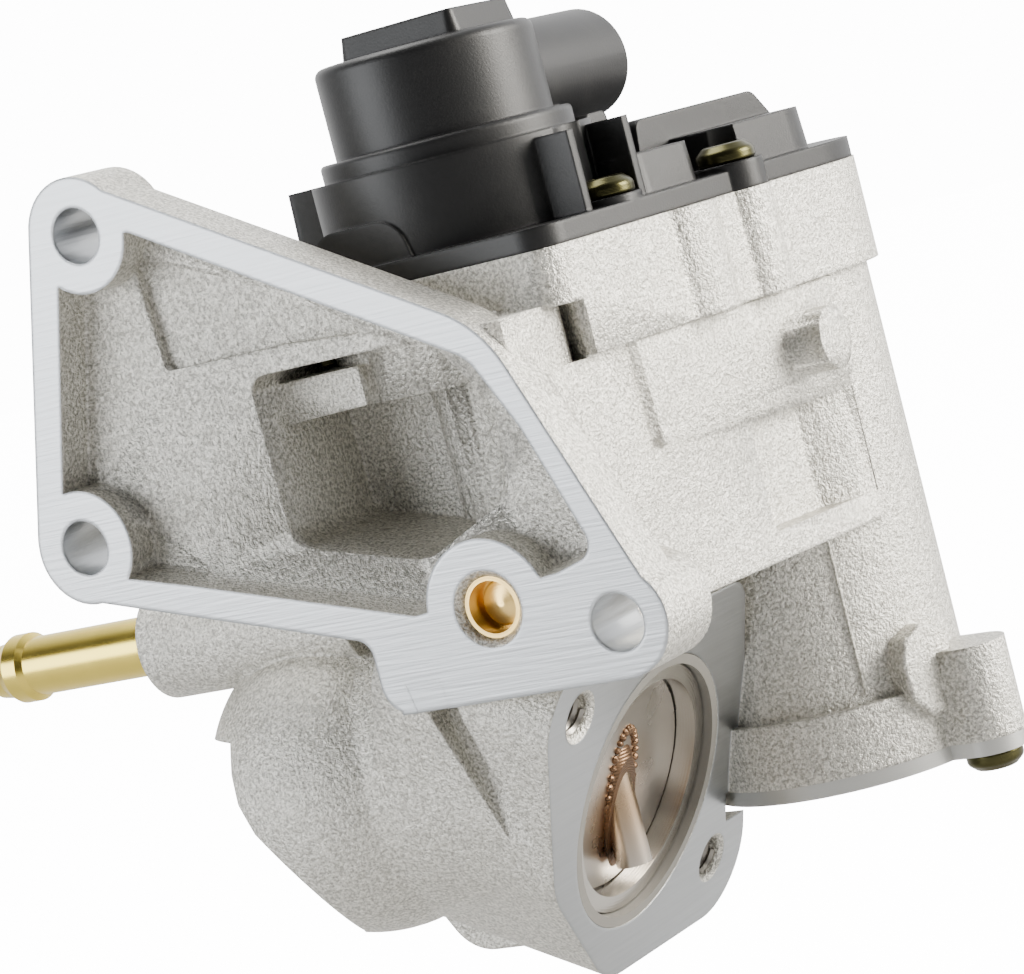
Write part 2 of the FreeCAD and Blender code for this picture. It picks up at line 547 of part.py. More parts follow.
def build_valve():
    """Sleeve, seal ring, flap, its split ring, weld bead and shaft."""
    flap = ("shaft_x", "shaft_y", "flap_z")
    done = []
    p = Piece("valve_sleeve")
    rod(p, "tube", PORT_BASE, -PORT, "1.7", "sleeve_long", "bore_r + sleeve_wall - press_gap")
    rod(p, "lip", PORT_BASE, -PORT, "1.7", "groove_deep", "sleeve_lip_r")
    rod(p, "bore", PORT_BASE, -PORT, "0", "sleeve_long + 1", "bore_r", cut=True)
    rod(p, "shaft_hole", SHAFT, UP, "flap_z + 5", "0", "shaft_r + 0.6", cut=True)
    done.append(p.finish())
    p = Piece("port_seal_ring")
    rod(p, "ring", PORT_BASE, -PORT, "0.05", "groove_deep", "groove_r - 0.1")
    rod(p, "inside", PORT_BASE, -PORT, "-1", "groove_deep + 1", "sleeve_lip_r + 0.3", cut=True)
    done.append(p.finish())
    p = Piece("flap_disc")
    rod(p, "disc", flap, PORT, "-disc_thick / 2", "disc_thick / 2", "bore_r - disc_gap")
    groove = ((val("bore_r") - 2.2, -0.6), (val("bore_r") + 1, -0.6), (val("bore_r") + 1, 0.6), (val("bore_r") - 2.2, 0.6))
    spin(p, "groove", groove, flap, PORT, cut=True)
    rod(p, "shaft_hole", SHAFT, UP, "flap_z - 12", "flap_z + 12", "shaft_r + press_gap", cut=True)
    done.append(p.finish())
    p = Piece("flap_seal_ring")
    rod(p, "ring", flap, PORT, "-0.56", "0.56", "bore_r - ring_gap")
    rod(p, "inside", flap, PORT, "-1", "1", "bore_r - 2", cut=True)
    slab(p, "split", ((-19, -0.2), (-14, -0.2), (-14, 0.2), (-19, 0.2)), along(flap, PORT, "-1"), FACE.multiply(Rotation(UP, 52)), "2", cut=True)
    done.append(p.finish())
    p = Piece("flap_shaft")
    rod(p, "body", SHAFT, UP, "shaft_low_z", "shaft_top_z", "shaft_r")
    done.append(p.finish())
    p = Piece("flap_weld")
    rod(p, "bead", SHAFT, UP, "flap_z - 16", "flap_z + 6", "shaft_r + 1.1")
    rod(p, "behind", flap, PORT, "-30", "disc_thick / 2", "30", cut=True)
    rod(p, "ahead", flap, PORT, "disc_thick / 2 + 0.9", "40", "30", cut=True)
    rod(p, "core", SHAFT, UP, "flap_z - 20", "flap_z + 10", "shaft_r", cut=True)
    done.append(p.finish())
    return done


def tube(name, base, axis, start, end, outer, inner):
    p = Piece(name)
    rod(p, "outside", base, axis, start, end, outer)
    rod(p, "inside", base, axis, "(%s) - 1" % start, "(%s) + 1" % end, inner, cut=True)
    return p


def build_bearings():
    done = [tube("shaft_bush", SHAFT, UP, "-6", "6", "bush_r - press_gap", "shaft_r + run_gap").finish()]
    p = Piece("shaft_seal")
    seal = ((3.1, 0), (5.98, 0), (5.98, 4), (5.0, 4), (5.0, 1.2), (3.9, 1.2), (3.6, 3.2), (3.04, 2.4))
    spin(p, "lip", seal, ("shaft_x", "shaft_y", "30.5"), UP)
    done.append(p.finish())
    outer = tube("bearing_outer", SHAFT, UP, "floor_z - 5", "floor_z", "7.5 - press_gap", "6.2")
    spin(outer, "race", ((5.3, -0.75), (6.5, -0.75), (6.5, 0.75), (5.3, 0.75)), ("shaft_x", "shaft_y", "floor_z - 2.5"), UP, cut=True)
    done.append(outer.finish())
    inner = tube("bearing_inner", SHAFT, UP, "floor_z - 5", "floor_z", "4.4", "shaft_r + press_gap")
    spin(inner, "race", ((4.1, -0.75), (5.3, -0.75), (5.3, 0.75), (4.1, 0.75)), ("shaft_x", "shaft_y", "floor_z - 2.5"), UP, cut=True)
    done.append(inner.finish())
    cage = tube("bearing_cage", SHAFT, UP, "floor_z - 3.1", "floor_z - 1.9", "5.6", "5.0")
    for i in range(7):
        ball = doc.addObject("Part::Sphere", "bearing_cage_ball_%d" % i)
        bind(ball, "Radius", "1.12")
        angle = 2 * math.pi * i / 7
        spot = ("shaft_x + %.5f" % (5.3 * math.cos(angle)), "shaft_y + %.5f" % (5.3 * math.sin(angle)), "floor_z - 2.5")
        place(ball, spot, Rotation(UP, math.degrees(angle)))
        cage.take(ball, False)
    done.append(cage.finish())
    return done


def spring_coil():
    """Wire of the return spring, section by section along its helix."""
    turns = val("spring_turns")
    rise = (val("spring_top_z") - val("spring_low_z")) / turns
    sections = []
    for i in range(int(18 * turns) + 1):
        angle = 2 * math.pi * i / 18
        radial = Vector(math.cos(angle), math.sin(angle), 0)
        middle = shaft + radial * val("spring_r") + UP * (val("spring_low_z") + rise * i / 18)
        ahead = Vector(-radial.y, radial.x, 0) * val("spring_r") + UP * (rise / 2 / math.pi)
        sections.append(Part.Wire(Part.Circle(middle, ahead, val("wire_r")).toShape()))
    return Part.makeLoft(sections, True, True)


def build_gears():
    mesh = 90 - val("case_yaw")
    done = []
    p = Piece("sector_gear")
    count = 14
    arc = tooth_ring(val("gear_mod_b"), int(val("teeth_sector")), mesh, first=-12, count=count)
    slab(p, "teeth", arc + [(0, 0)], ("shaft_x", "shaft_y", "50"), PLAN, "5")
    rod(p, "hub", SHAFT, UP, "49", "60", "8.5")
    stop = Rotation(UP, -15)
    slab(p, "hook", ((10.5, -2.5), (17.5, -2.5), (17.5, 2.5), (10.5, 2.5)), ("shaft_x", "shaft_y", "54.5"), stop, "2.8")
    rod(p, "bore", SHAFT, UP, "48", "61", "shaft_r + press_gap", cut=True)
    done.append(p.finish())
    p = Piece("intermediate_gear")
    slab(p, "teeth", tooth_ring(val("gear_mod_a"), int(val("teeth_large")), mesh), ("gear_x", "gear_y", "44"), PLAN, "4.4")
    rod(p, "hub", GEAR, UP, "43", "48.4", "6")
    rod(p, "bore", GEAR, UP, "42", "50", "2 + run_gap", cut=True)
    spin(p, "web", ((9, 47), (18.6, 47), (18.6, 50), (9, 50)), GEAR, UP, cut=True)
    done.append(p.finish())
    p = Piece("intermediate_pinion")
    slab(p, "teeth", tooth_ring(val("gear_mod_b"), int(val("teeth_small")), mesh + 180 + 180 / val("teeth_small")), ("gear_x", "gear_y", "48.4"), PLAN, "7")
    rod(p, "bore", GEAR, UP, "48", "56", "2 + run_gap", cut=True)
    done.append(p.finish())
    p = Piece("motor_pinion")
    slab(p, "teeth", tooth_ring(val("gear_mod_a"), int(val("teeth_motor")), mesh + 180 + 180 / val("teeth_motor")), ("motor_x", "motor_y", "43.6"), PLAN, "6")
    rod(p, "bore", MOTOR, UP, "43", "50", "1.5 + press_gap", cut=True)
    done.append(p.finish())
    p = Piece("intermediate_pin")
    rod(p, "pin", GEAR, UP, "case_low_z + 0.8", "58.4", "2 - press_gap")
    done.append(p.finish())
    p = tube("spring_guide", SHAFT, UP, "57.4", "69", "12", "8.5 + press_gap")
    rod(p, "foot", SHAFT, UP, "55", "57.4", "10.3")
    rod(p, "foot_bore", SHAFT, UP, "54", "58", "8.5 + press_gap", cut=True)
    done.append(p.finish())
    p = Piece("magnet_cup")
    rod(p, "cup", SHAFT, UP, "66", "76", "6.5")
    rod(p, "shaft_hole", SHAFT, UP, "65", "shaft_top_z", "shaft_r + press_gap", cut=True)
    rod(p, "magnet_hole", SHAFT, UP, "73", "77", "5", cut=True)
    done.append(p.finish())
    p = Piece("sensor_magnet")
    rod(p, "disc", SHAFT, UP, "73", "76", "5 - press_gap")
    done.append(p.finish())
    coil = doc.addObject("Part::Feature", "return_spring_coil")
    coil.Shape = spring_coil()
    p = Piece("return_spring")
    p.take(coil, False)
    rod(p, "leg_top", ("shaft_x + spring_r", "shaft_y", "spring_top_z"), X, "-1.3", "7", "wire_r + 0.1")
    rod(p, "leg_low", ("shaft_x + spring_r", "shaft_y", "spring_low_z"), UP, "-2.6", "1.3", "wire_r + 0.1")
    done.append(p.finish())
    return done


def blade(side, grow):
    """Section of one flat motor blade."""
    x, y = 0.4 + grow, 1.5 + grow
    mid = side * 4
    return ((-x, mid - y), (x, mid - y), (x, mid + y), (-x, mid + y))


def build_motor():
    done = []
    p = Piece("motor_can")
    rod(p, "can", MOTOR, UP, "motor_low_z", "motor_high_z", "motor_r")
    rod(p, "inside", MOTOR, UP, "motor_low_z - 1", "motor_high_z - 1.5", "motor_r - 1.2", cut=True)
    rod(p, "nose", MOTOR, UP, "motor_high_z - 1.5", "motor_high_z + 4", "6")
    rod(p, "nose_bore", MOTOR, UP, "motor_high_z - 6", "motor_high_z + 5", "4", cut=True)
    slot = ((-1.5, -6.5), (1.5, -6.5), (1.5, 6.5), (-1.5, 6.5))
    blades = along(MOTOR, CASE, "blade_reach")[:2]
    slab(p, "slot", slot, blades + ["motor_high_z - 3"], CASE_TURN, "5", cut=True)
    done.append(p.finish())
    bush = tube("motor_bush", MOTOR, UP, "motor_high_z - 1.5", "motor_high_z + 4", "4 - press_gap", "1.5 + run_gap")
    done.append(bush.finish())
    edge = val("motor_r") + 1
    for tag, side in (("a", 1), ("b", -1)):
        p = tube("motor_magnet_" + tag, MOTOR, UP, "-20", "17", "motor_r - 1.2 - press_gap", "14")
        low, high = (-edge, 3) if side > 0 else (-3, edge)
        half = ((-edge, low), (edge, low), (edge, high), (-edge, high))
        slab(p, "half", half, ("motor_x", "motor_y", "motor_low_z"), PLAN, "90", cut=True)
        done.append(p.finish())
    p = Piece("motor_rotor")
    rod(p, "shaft", MOTOR, UP, "motor_low_z + 1", "50", "1.5")
    rod(p, "core", MOTOR, UP, "-17", "14", "13.4")
    rod(p, "windings", MOTOR, UP, "-21", "18", "10.5")
    rod(p, "commutator", MOTOR, UP, "18", "28", "4.5")
    for i in range(5):
        turn = Rotation(UP, 72 * i + val("case_yaw"))
        slab(p, "slot_%d" % i, ((11, -1), (15, -1), (15, 1), (11, 1)), ("motor_x", "motor_y", "-18"), turn, "33", cut=True)
    done.append(p.finish())
    p = Piece("motor_endbell")
    rod(p, "disc", MOTOR, UP, "motor_low_z", "motor_low_z + 5", "motor_r - 1.2 - press_gap")
    rod(p, "bore", MOTOR, UP, "motor_low_z + 0.6", "motor_low_z + 6", "1.5 + run_gap", cut=True)
    done.append(p.finish())
    p = Piece("motor_brush_plate")
    rod(p, "disc", MOTOR, UP, "29.5", "motor_high_z - 1.5", "motor_r - 1.2 - press_gap")
    for side in (-1, 1):
        box = ((side * 9.6 - 0.8, -3), (side * 9.6 + 0.8, -3), (side * 9.6 + 0.8, 3), (side * 9.6 - 0.8, 3))
        slab(p, "holder_%d" % (side > 0), box, ("motor_x", "motor_y", "21"), PLAN, "9")
    rod(p, "bore", MOTOR, UP, "29", "motor_high_z", "4.2", cut=True)
    for side in (-1, 1):
        slab(p, "blade_%d" % (side > 0), blade(side, 0), blades + ["31"], CASE_TURN, "5", cut=True)
    done.append(p.finish())
    for side in (-1, 1):
        p = Piece("motor_brush_" + ("a" if side > 0 else "b"))
        near, far = sorted((side * 4.52, side * 8.79))
        box = ((near, -2), (far, -2), (far, 2), (near, 2))
        slab(p, "carbon", box, ("motor_x", "motor_y", "22"), PLAN, "4.5")
        done.append(p.finish())
    for side in (-1, 1):
        p = Piece("motor_blade_" + ("a" if side > 0 else "b"))
        slab(p, "strip", blade(side, -0.01), blades + ["31"], CASE_TURN, "27.4")
        done.append(p.finish())
    p = Piece("motor_spring")
    washer = ((12, 0.9), (17.5, 0), (17.5, 1), (12, 1.9))
    spin(p, "washer", washer, ("motor_x", "motor_y", "column_low_z + 3.4"), UP)
    done.append(p.finish())
    p = Piece("motor_cover")
    rod(p, "plate", MOTOR, UP, "column_low_z - motor_cover_thick", "column_low_z", "column_r + 2")
    ear_reach = val("motor_ear_r")
    for i, degrees in enumerate(MOTOR_SCREWS):
        c, s = math.cos(math.radians(degrees)), math.sin(math.radians(degrees))
        rib = turn_to(Vector(c, s, 0), Vector(-s, c, 0), UP)
        spot = ear(degrees)
        rod(p, "ear_%d" % i, at(spot, "0"), UP, "column_low_z - motor_cover_thick", "column_low_z", "6.2")
        slab(p, "rib_%d" % i, ((10, -6.2), (ear_reach, -6.2), (ear_reach, 6.2), (10, 6.2)), ("motor_x", "motor_y", "column_low_z - motor_cover_thick"), rib, "motor_cover_thick")
    rod(p, "dish", MOTOR, UP, "column_low_z - motor_cover_thick - 1.4", "column_low_z", "17")
    rod(p, "spigot", MOTOR, UP, "column_low_z - 1", "column_low_z + 3.4", "motor_r + motor_gap - 0.1")
    rod(p, "inside", MOTOR, UP, "column_low_z - 1.2", "column_low_z + 5", "motor_r - 2.4", cut=True)
    spin(p, "groove", ((20.3, -1.3), (22.2, -1.3), (22.2, 1), (20.3, 1)), ("motor_x", "motor_y", "column_low_z"), UP, cut=True)
    for i, degrees in enumerate(MOTOR_SCREWS):
        rod(p, "hole_%d" % i, at(ear(degrees), "0"), UP, "column_low_z - 8", "column_low_z + 1", "screw_r + 0.25", cut=True)
    done.append(p.finish())
    done.append(tube("motor_cover_seal", MOTOR, UP, "column_low_z - 1.3", "column_low_z", "22.1", "20.4").finish())
    for i, degrees in enumerate(MOTOR_SCREWS):
        done.append(screw("motor_screw_%d" % (i + 1), ear(degrees), "column_low_z - motor_cover_thick", -1, "10.5"))
    return done


def screw(name, spot, seat, way, reach):
    """Pan head screw; way is +1 when the head looks up."""
    p = Piece(name)
    axis = UP * way
    base = at(spot, seat)
    head = ((0, 0), (val("screw_head_r"), 0, 0.6), (val("screw_head_r"), 1.9, 1.2), (3.4, val("screw_head_h"), 1), (0, val("screw_head_h")))
    spin(p, "head", head, base, axis)
    rod(p, "shank", base, axis, "-%s" % reach, "0.4", "screw_r - press_gap")
    star = []
    for k in range(12):
        r = 1.75 if k % 2 else 1.2
        star.append((r * math.cos(math.pi * k / 6), r * math.sin(math.pi * k / 6)))
    lift = along(base, axis, "screw_head_h - 1.8")
    slab(p, "socket", star, lift, PLAN if way > 0 else turn_to(X, -Y, -UP), "2.5", cut=True)
    return p.finish()


def seal_band(piece, name, grow, low, high, cut=False):
    """Three solids that follow the gear case outline at one offset."""
    length = "(%s) - (%s)" % (high, low)
    slab(piece, name + "_plan", case_plan(grow), ("0", "0", low), PLAN, length, cut=cut)
    rod(piece, name + "_shaft", SHAFT, UP, low, high, "drum_r + 3 + %s" % grow, cut=cut)
    rod(piece, name + "_motor", MOTOR, UP, low, high, "column_r + 2.2 + %s" % grow, cut=cut)


def seal_loop(name, outer, inner, low, high):
    """Band between two offsets of the gear case outline."""
    p = Piece(name)
    seal_band(p, "outer", outer, low, high)
    eyes = [COVER_SCREWS[i] for i in (0, 1, 3, 4)]
    for i, spot in enumerate(eyes):
        rod(p, "eye_%d" % i, at(spot, "0"), UP, low, high, "screw_r + 3.1 + (%s)" % outer)
    seal_band(p, "inner", inner, "(%s) - 1" % low, "(%s) + 1" % high, cut=True)
    for i, spot in enumerate(eyes):
        rod(p, "eye_rim_%d" % i, at(spot, "0"), UP, low, high, "screw_r + 3.1 + (%s)" % outer)
        rod(p, "eye_hole_%d" % i, at(spot, "0"), UP, "(%s) - 1" % low, "(%s) + 1" % high, "screw_r + 3.2 + (%s)" % inner, cut=True)
    return p


def build_cover():
    """Black gear cover, its seal and screws, sensor board and connector pins."""
    done = []
    p = Piece("gear_cover")
    seal_band(p, "rim", -0.3, "split_z", "cover_rim_z")
    for i, spot in enumerate(COVER_SCREWS):
        rod(p, "boss_%d" % (i + 1), at(spot, "0"), UP, "split_z", "cover_seat_z", "5.8")
    rod(p, "drum", SHAFT, UP, "split_z", "drum_top_z", "drum_r")
    turret = ((0, 60), (val("collar_r"), 60), (val("collar_r"), val("collar_top_z"), 0.8), (val("turret_r"), val("collar_top_z")),
              (val("turret_r"), val("turret_top_z"), 1.6), (0, val("turret_top_z")))
    spin(p, "turret", turret, SHAFT, UP)
    plateau = ((-43, 30, 2), (-20, 30, 2), (-20, 50, 2), (-43, 50, 2))
    slab(p, "plateau", plateau, ("0", "0", "turret_top_z - 1"), PLAN, "plateau_z - turret_top_z + 1", taper=-10)
    barrel = ("barrel_x", "0", "barrel_z")
    rod(p, "barrel", barrel, Y, "shaft_y + 8", "barrel_y", "barrel_r")
    lug = ((-66, 38, 2), (-52, 38), (-52, 52), (-66, 52, 2))
    slab(p, "lug", lug, ("0", "0", "split_z"), PLAN, "17.5", taper=-2)
    lens = ((-49, 57), (-29, 57), (-31, 66, 5), (-47, 66, 5))
    slab(p, "lens", lens, ("0", "30", "0"), FRONT, "13.6")
    block = (sc(42, -9.4, 4), sc(60, -9.4, 3), sc(60, -24, 3), sc(42, -24, 3))
    slab(p, "block_a", block, ("0", "0", "split_z"), PLAN, "10", taper=-3)
    block = (sc(69, -10, 3), sc(99, -10, 12), sc(99, -50, 12), sc(69, -50, 3))
    slab(p, "block_b", block, ("0", "0", "split_z"), PLAN, "10.5", taper=-3)
    ridge = ((60, 57), (62, 71, 2), (95, 71, 3), (107, 57))
    slab(p, "ridge", ridge, at(OUT * -45, "0"), SIDE, "23")
    tab = ((51.5, 57), (52.4, 74, 1.2), (57.6, 74, 1.2), (58.5, 57))
    slab(p, "tab", tab, at(OUT * -40, "0"), SIDE, "16")
    for i, spot in enumerate(COVER_SCREWS):
        rod(p, "notch_%d" % (i + 1), at(spot, "0"), UP, "cover_seat_z", "cover_seat_z + 20", "screw_head_r + 0.5", cut=True)
    for side in (-1, 1):
        fin = (sc(36.6 + side * 7 - 0.8, -20), sc(36.6 + side * 7 + 0.8, -20), sc(36.6 + side * 7 + 0.8, -9.5), sc(36.6 + side * 7 - 0.8, -9.5))
        slab(p, "fin_%d" % (side > 0), fin, ("0", "0", "split_z + 1"), PLAN, "drum_top_z - split_z - 2")
    rod(p, "in_drum", SHAFT, UP, "split_z - 1", "drum_top_z - 2", "drum_r - 3", cut=True)
    rod(p, "in_turret", SHAFT, UP, "split_z", "84", "16", cut=True)
    rod(p, "in_top", SHAFT, UP, "83", "turret_top_z - 2", "14.6", cut=True)
    rod(p, "in_gear", GEAR, UP, "split_z - 1", "split_z + 1.4", "large_tip_r + 0.4", cut=True)
    rod(p, "in_motor", MOTOR, UP, "split_z - 1", "split_z + 1.4", "9", cut=True)
    hollow = (sc(78, -14, 3), sc(94, -14, 3), sc(94, -46, 3), sc(78, -46, 3))
    slab(p, "in_block", hollow, ("0", "0", "split_z - 1"), PLAN, "9.5", cut=True)
    leg = ("shaft_x", "shaft_y", "split_z - 1")
    slab(p, "leg_slot", ((19, -1.2), (21.6, -1.2), (21.6, 1.2), (19, 1.2)), leg, PLAN, "14.2", cut=True)
    rod(p, "in_barrel", barrel, Y, "59.5", "barrel_y + 1", "barrel_r - 1.8", cut=True)
    for i in range(5):
        slab(p, "pin_hole_%d" % (i + 1), pin_section(i, 0), ("0", "50", "0"), BACK, "12", cut=True)
    for side in (-1, 1):
        blades = along(MOTOR, CASE, "blade_reach")[:2]
        slab(p, "blade_hole_%d" % (side > 0), blade(side, 0), blades + ["split_z - 1"], CASE_TURN, "3.6", cut=True)
    rod(p, "pin_boss", GEAR, UP, "split_z - 0.4", "split_z + 2", "4")
    rod(p, "pin_seat", GEAR, UP, "split_z - 1", "58.6", "2", cut=True)
    for i, spot in enumerate(COVER_SCREWS):
        rod(p, "hole_%d" % (i + 1), at(spot, "0"), UP, "split_z - 1", "cover_seat_z + 1", "screw_r + 0.25", cut=True)
    p.take(seal_loop("cover_groove", -1.3, -2.7, "split_z - 1", "split_z + 1.2").finish(), True)
    done.append(p.finish())
    seal = seal_loop("cover_seal", -1.4, -2.6, "split_z", "split_z + 1.2")
    done.append(seal.finish())
    for i, spot in enumerate(COVER_SCREWS):
        done.append(screw("cover_screw_%d" % (i + 1), spot, "cover_seat_z", 1, "15"))
    p = Piece("sensor_board")
    rod(p, "board", SHAFT, UP, "82.4", "84", "15.9")
    rod(p, "chip", SHAFT, UP, "80.8", "82.6", "2.6")
    slab(p, "socket", ((-34, 47), (-21.6, 47), (-21.6, 50.4), (-34, 50.4)), ("0", "0", "82.4"), PLAN, "1.6")
    done.append(p.finish())
    for i in range(5):
        p = Piece("connector_pin_%d" % (i + 1))
        slab(p, "strip", pin_section(i, -0.01), ("0", "47.5", "0"), BACK, "26")
        done.append(p.finish())
    return done


def pin_section(i, grow):
    """Section of one connector pin, seen from behind."""
    x, z = val("barrel_x") - 5.2 + 2.6 * i, val("barrel_z") - 0.5
    w = 0.4 + grow
    return ((-x - w, z - w), (-x + w, z - w), (-x + w, z + w), (-x - w, z + w))


def build_fittings():
    """Coolant hose nipple and the brass plug of the cross drilling."""
    done = []
    nipple = ("nipple_x", "nipple_y", "nipple_z")
    r = val("nipple_r")
    bead = val("nipple_bead_r")
    bore = val("nipple_bore_r")
    long = val("nipple_long")
    p = Piece("coolant_nipple")
    pipe = ((bore, -11.8), (r - 0.61, -11.8), (r - 0.61, 0), (r, 0), (r, long - 9), (bead, long - 8),
            (bead, long - 5), (r - 0.2, long - 3), (r - 0.6, long, 0.5), (bore, long))
    spin(p, "pipe", pipe, nipple, -X)
    done.append(p.finish())
    p = Piece("brass_plug")
    r = val("plug_r") - val("press_gap")
    cup = ((0, 8.9), (r, 8.9), (r, 1.3), (r - 0.7, 1.3), (r - 0.7, 5.6), (3.65, 5.6), (3.65, 4.6, 0.4), (0, 3.8))
    spin(p, "cup", cup, ("plug_x", "0", "plug_z"), Y)
    done.append(p.finish())
    return done


nodes = [build_housing()]
nodes += build_valve()
nodes += build_bearings()
nodes += build_gears()
nodes += build_motor()
nodes += build_cover()
nodes += build_fittings()
doc.recompute()

for obj in doc.Objects:
    if "Invalid" in obj.State or "Error" in obj.State:
        raise RuntimeError("not built: " + obj.Name)

os.makedirs("parts", exist_ok=True)
for obj in nodes:
    if obj.Shape.isNull() or not obj.Shape.isValid() or not obj.Shape.Solids:
        raise RuntimeError("no valid solid: " + obj.Label)
    obj.Shape.exportStep("parts/%s.step" % obj.Label)
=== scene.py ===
# %% [markdown]
# This is an exhaust gas recirculation valve: a die-cast aluminium housing with a steel gas port,
# an electric motor in a column, gears under a black plastic cover and a brass coolant nipple.
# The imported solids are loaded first, and everything else is placed in their frame, in metres.

# %% Load the solids
import math

import bpy
from mathutils import Matrix, Vector


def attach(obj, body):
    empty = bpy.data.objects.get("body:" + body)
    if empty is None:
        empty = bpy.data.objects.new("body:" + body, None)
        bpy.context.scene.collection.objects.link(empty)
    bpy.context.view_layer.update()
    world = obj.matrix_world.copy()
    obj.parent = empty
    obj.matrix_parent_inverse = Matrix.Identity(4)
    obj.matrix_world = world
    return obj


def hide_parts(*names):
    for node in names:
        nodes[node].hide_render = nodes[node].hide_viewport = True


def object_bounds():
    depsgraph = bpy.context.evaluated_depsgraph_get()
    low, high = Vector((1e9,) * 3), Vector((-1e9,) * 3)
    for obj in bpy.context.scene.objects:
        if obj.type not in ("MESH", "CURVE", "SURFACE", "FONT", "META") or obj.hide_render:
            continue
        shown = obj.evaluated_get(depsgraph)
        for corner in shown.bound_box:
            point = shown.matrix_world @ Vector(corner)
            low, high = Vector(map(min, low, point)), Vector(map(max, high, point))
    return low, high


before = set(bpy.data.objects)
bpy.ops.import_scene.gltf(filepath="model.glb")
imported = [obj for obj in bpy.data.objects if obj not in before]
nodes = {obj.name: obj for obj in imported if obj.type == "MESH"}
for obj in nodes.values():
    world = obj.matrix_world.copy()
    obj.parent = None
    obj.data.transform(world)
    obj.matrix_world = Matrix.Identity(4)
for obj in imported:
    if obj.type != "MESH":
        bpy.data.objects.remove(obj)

CAD_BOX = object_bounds()
MM = 0.001

# %% [markdown]
# The camera stands where the photographer stood. Its place and turn were worked out from the
# three mounting holes, so the picture needs no shift, only a long lens and a slight roll.

# %% Camera
camera_data = bpy.data.cameras.new("camera")
camera = bpy.data.objects.new("camera", camera_data)
bpy.context.scene.collection.objects.link(camera)
bpy.context.scene.camera = camera
camera_data.sensor_width = 36.0
camera_data.lens = 129.7
camera_data.clip_start = 0.01
camera_data.clip_end = 20.0
RIGHT = Vector((0.82696, 0.50292, -0.25142))
ABOVE = Vector((0.16520, 0.21009, 0.96362))
BEHIND = Vector((0.53744, -0.83841, 0.09066))
CAMERA_PLACE = Vector((0.2847, -0.4628, 0.0730))
turn = Matrix((RIGHT, ABOVE, BEHIND)).transposed().to_4x4()
camera.matrix_world = Matrix.Translation(CAMERA_PLACE) @ turn
print("camera", tuple(round(v, 3) for v in camera.location))

# %% [markdown]
# The light is that of a product shot: a white room that is brightest behind the part, a warm soft
# panel on the right for the side wall, a cooler one on the left for the flange, one from above, and
# a pale floor a little below the part. The camera sees paper white where the metal sees a soft room.

# %% Stage and light
def soft_panel(name, place, target, size, power, colour):
    """Square area light that looks at a target."""
    data = bpy.data.lights.new(name, "AREA")
    data.size = size
    data.energy = power
    data.color = colour
    lamp = bpy.data.objects.new(name, data)
    bpy.context.scene.collection.objects.link(lamp)
    lamp.location = place
    lamp.rotation_euler = (Vector(target) - Vector(place)).to_track_quat("-Z", "Y").to_euler()
    return lamp


CENTRE = Vector((-0.04, 0.05, 0.02))
PAPER_WHITE = 14.0
FLOOR_DROP = 0.03
soft_panel("right_panel", (0.80, 0.42, 0.30), CENTRE, 0.5, 22.0, (1.0, 0.96, 0.88))
soft_panel("left_panel", (-0.66, -0.76, 0.12), CENTRE, 0.7, 10.0, (0.96, 0.98, 1.0))
soft_panel("top_panel", (-0.3, 0.1, 0.9), CENTRE, 0.5, 7.0, (1.0, 0.99, 0.97))

world = bpy.data.worlds.new("room")
bpy.context.scene.world = world
world.use_nodes = True
room = world.node_tree
room.nodes["Background"].inputs["Color"].default_value = (1.0, 1.0, 1.0, 1.0)
sky_way = room.nodes.new("ShaderNodeVectorMath")
sky_way.operation = "DOT_PRODUCT"
sky_way.inputs[1].default_value = -BEHIND + RIGHT * 0.5
room.links.new(room.nodes.new("ShaderNodeTexCoord").outputs["Generated"], sky_way.inputs[0])
spread = room.nodes.new("ShaderNodeMapRange")
spread.inputs["From Min"].default_value = -0.45
spread.inputs["From Max"].default_value = 0.8
spread.inputs["To Min"].default_value = 0.10
spread.inputs["To Max"].default_value = 2.3
room.links.new(sky_way.outputs[1], spread.inputs["Value"])
seen = room.nodes.new("ShaderNodeMix")
seen.data_type = "FLOAT"
camera_ray = room.nodes.new("ShaderNodeLightPath").outputs["Is Camera Ray"]
room.links.new(camera_ray, seen.inputs[0])
room.links.new(spread.outputs[0], seen.inputs[2])
seen.inputs[3].default_value = PAPER_WHITE
room.links.new(seen.outputs[0], room.nodes["Background"].inputs["Strength"])

low_corner = Vector(CAD_BOX[0])
bpy.ops.object.select_all(action="DESELECT")
bpy.ops.mesh.primitive_plane_add(size=6.0, location=(0.0, 0.0, low_corner.z - FLOOR_DROP))
floor = bpy.context.object
floor.name = "floor"
print("floor at", round(low_corner.z - FLOOR_DROP, 4))

# %% [markdown]
# Several finishes need the same tools: a grain for cast skin, a test of how far a point lies
# from a plane, and of how far it lies from an axis. Each is a node group that is built once.

# %% Node helpers
def node_group(name, inputs, outputs):
    """Empty shader group with named sockets."""
    group = bpy.data.node_groups.new(name, "ShaderNodeTree")
    for label, kind, value in inputs:
        socket = group.interface.new_socket(label, in_out="INPUT", socket_type=kind)
        if value is not None:
            socket.default_value = value
    for label, kind in outputs:
        group.interface.new_socket(label, in_out="OUTPUT", socket_type=kind)
    return group, group.nodes.new("NodeGroupInput"), group.nodes.new("NodeGroupOutput")


def math_node(tree, operation, a, b=None, c=None, clamp=False):
    """Math node; each input is a socket or a number."""
    made = tree.nodes.new("ShaderNodeMath")
    made.operation = operation
    made.use_clamp = clamp
    for i, value in enumerate((a, b, c)):
        if value is None:
            continue
        if isinstance(value, (int, float)):
            made.inputs[i].default_value = value
        else:
            tree.links.new(value, made.inputs[i])
    return made.outputs[0]


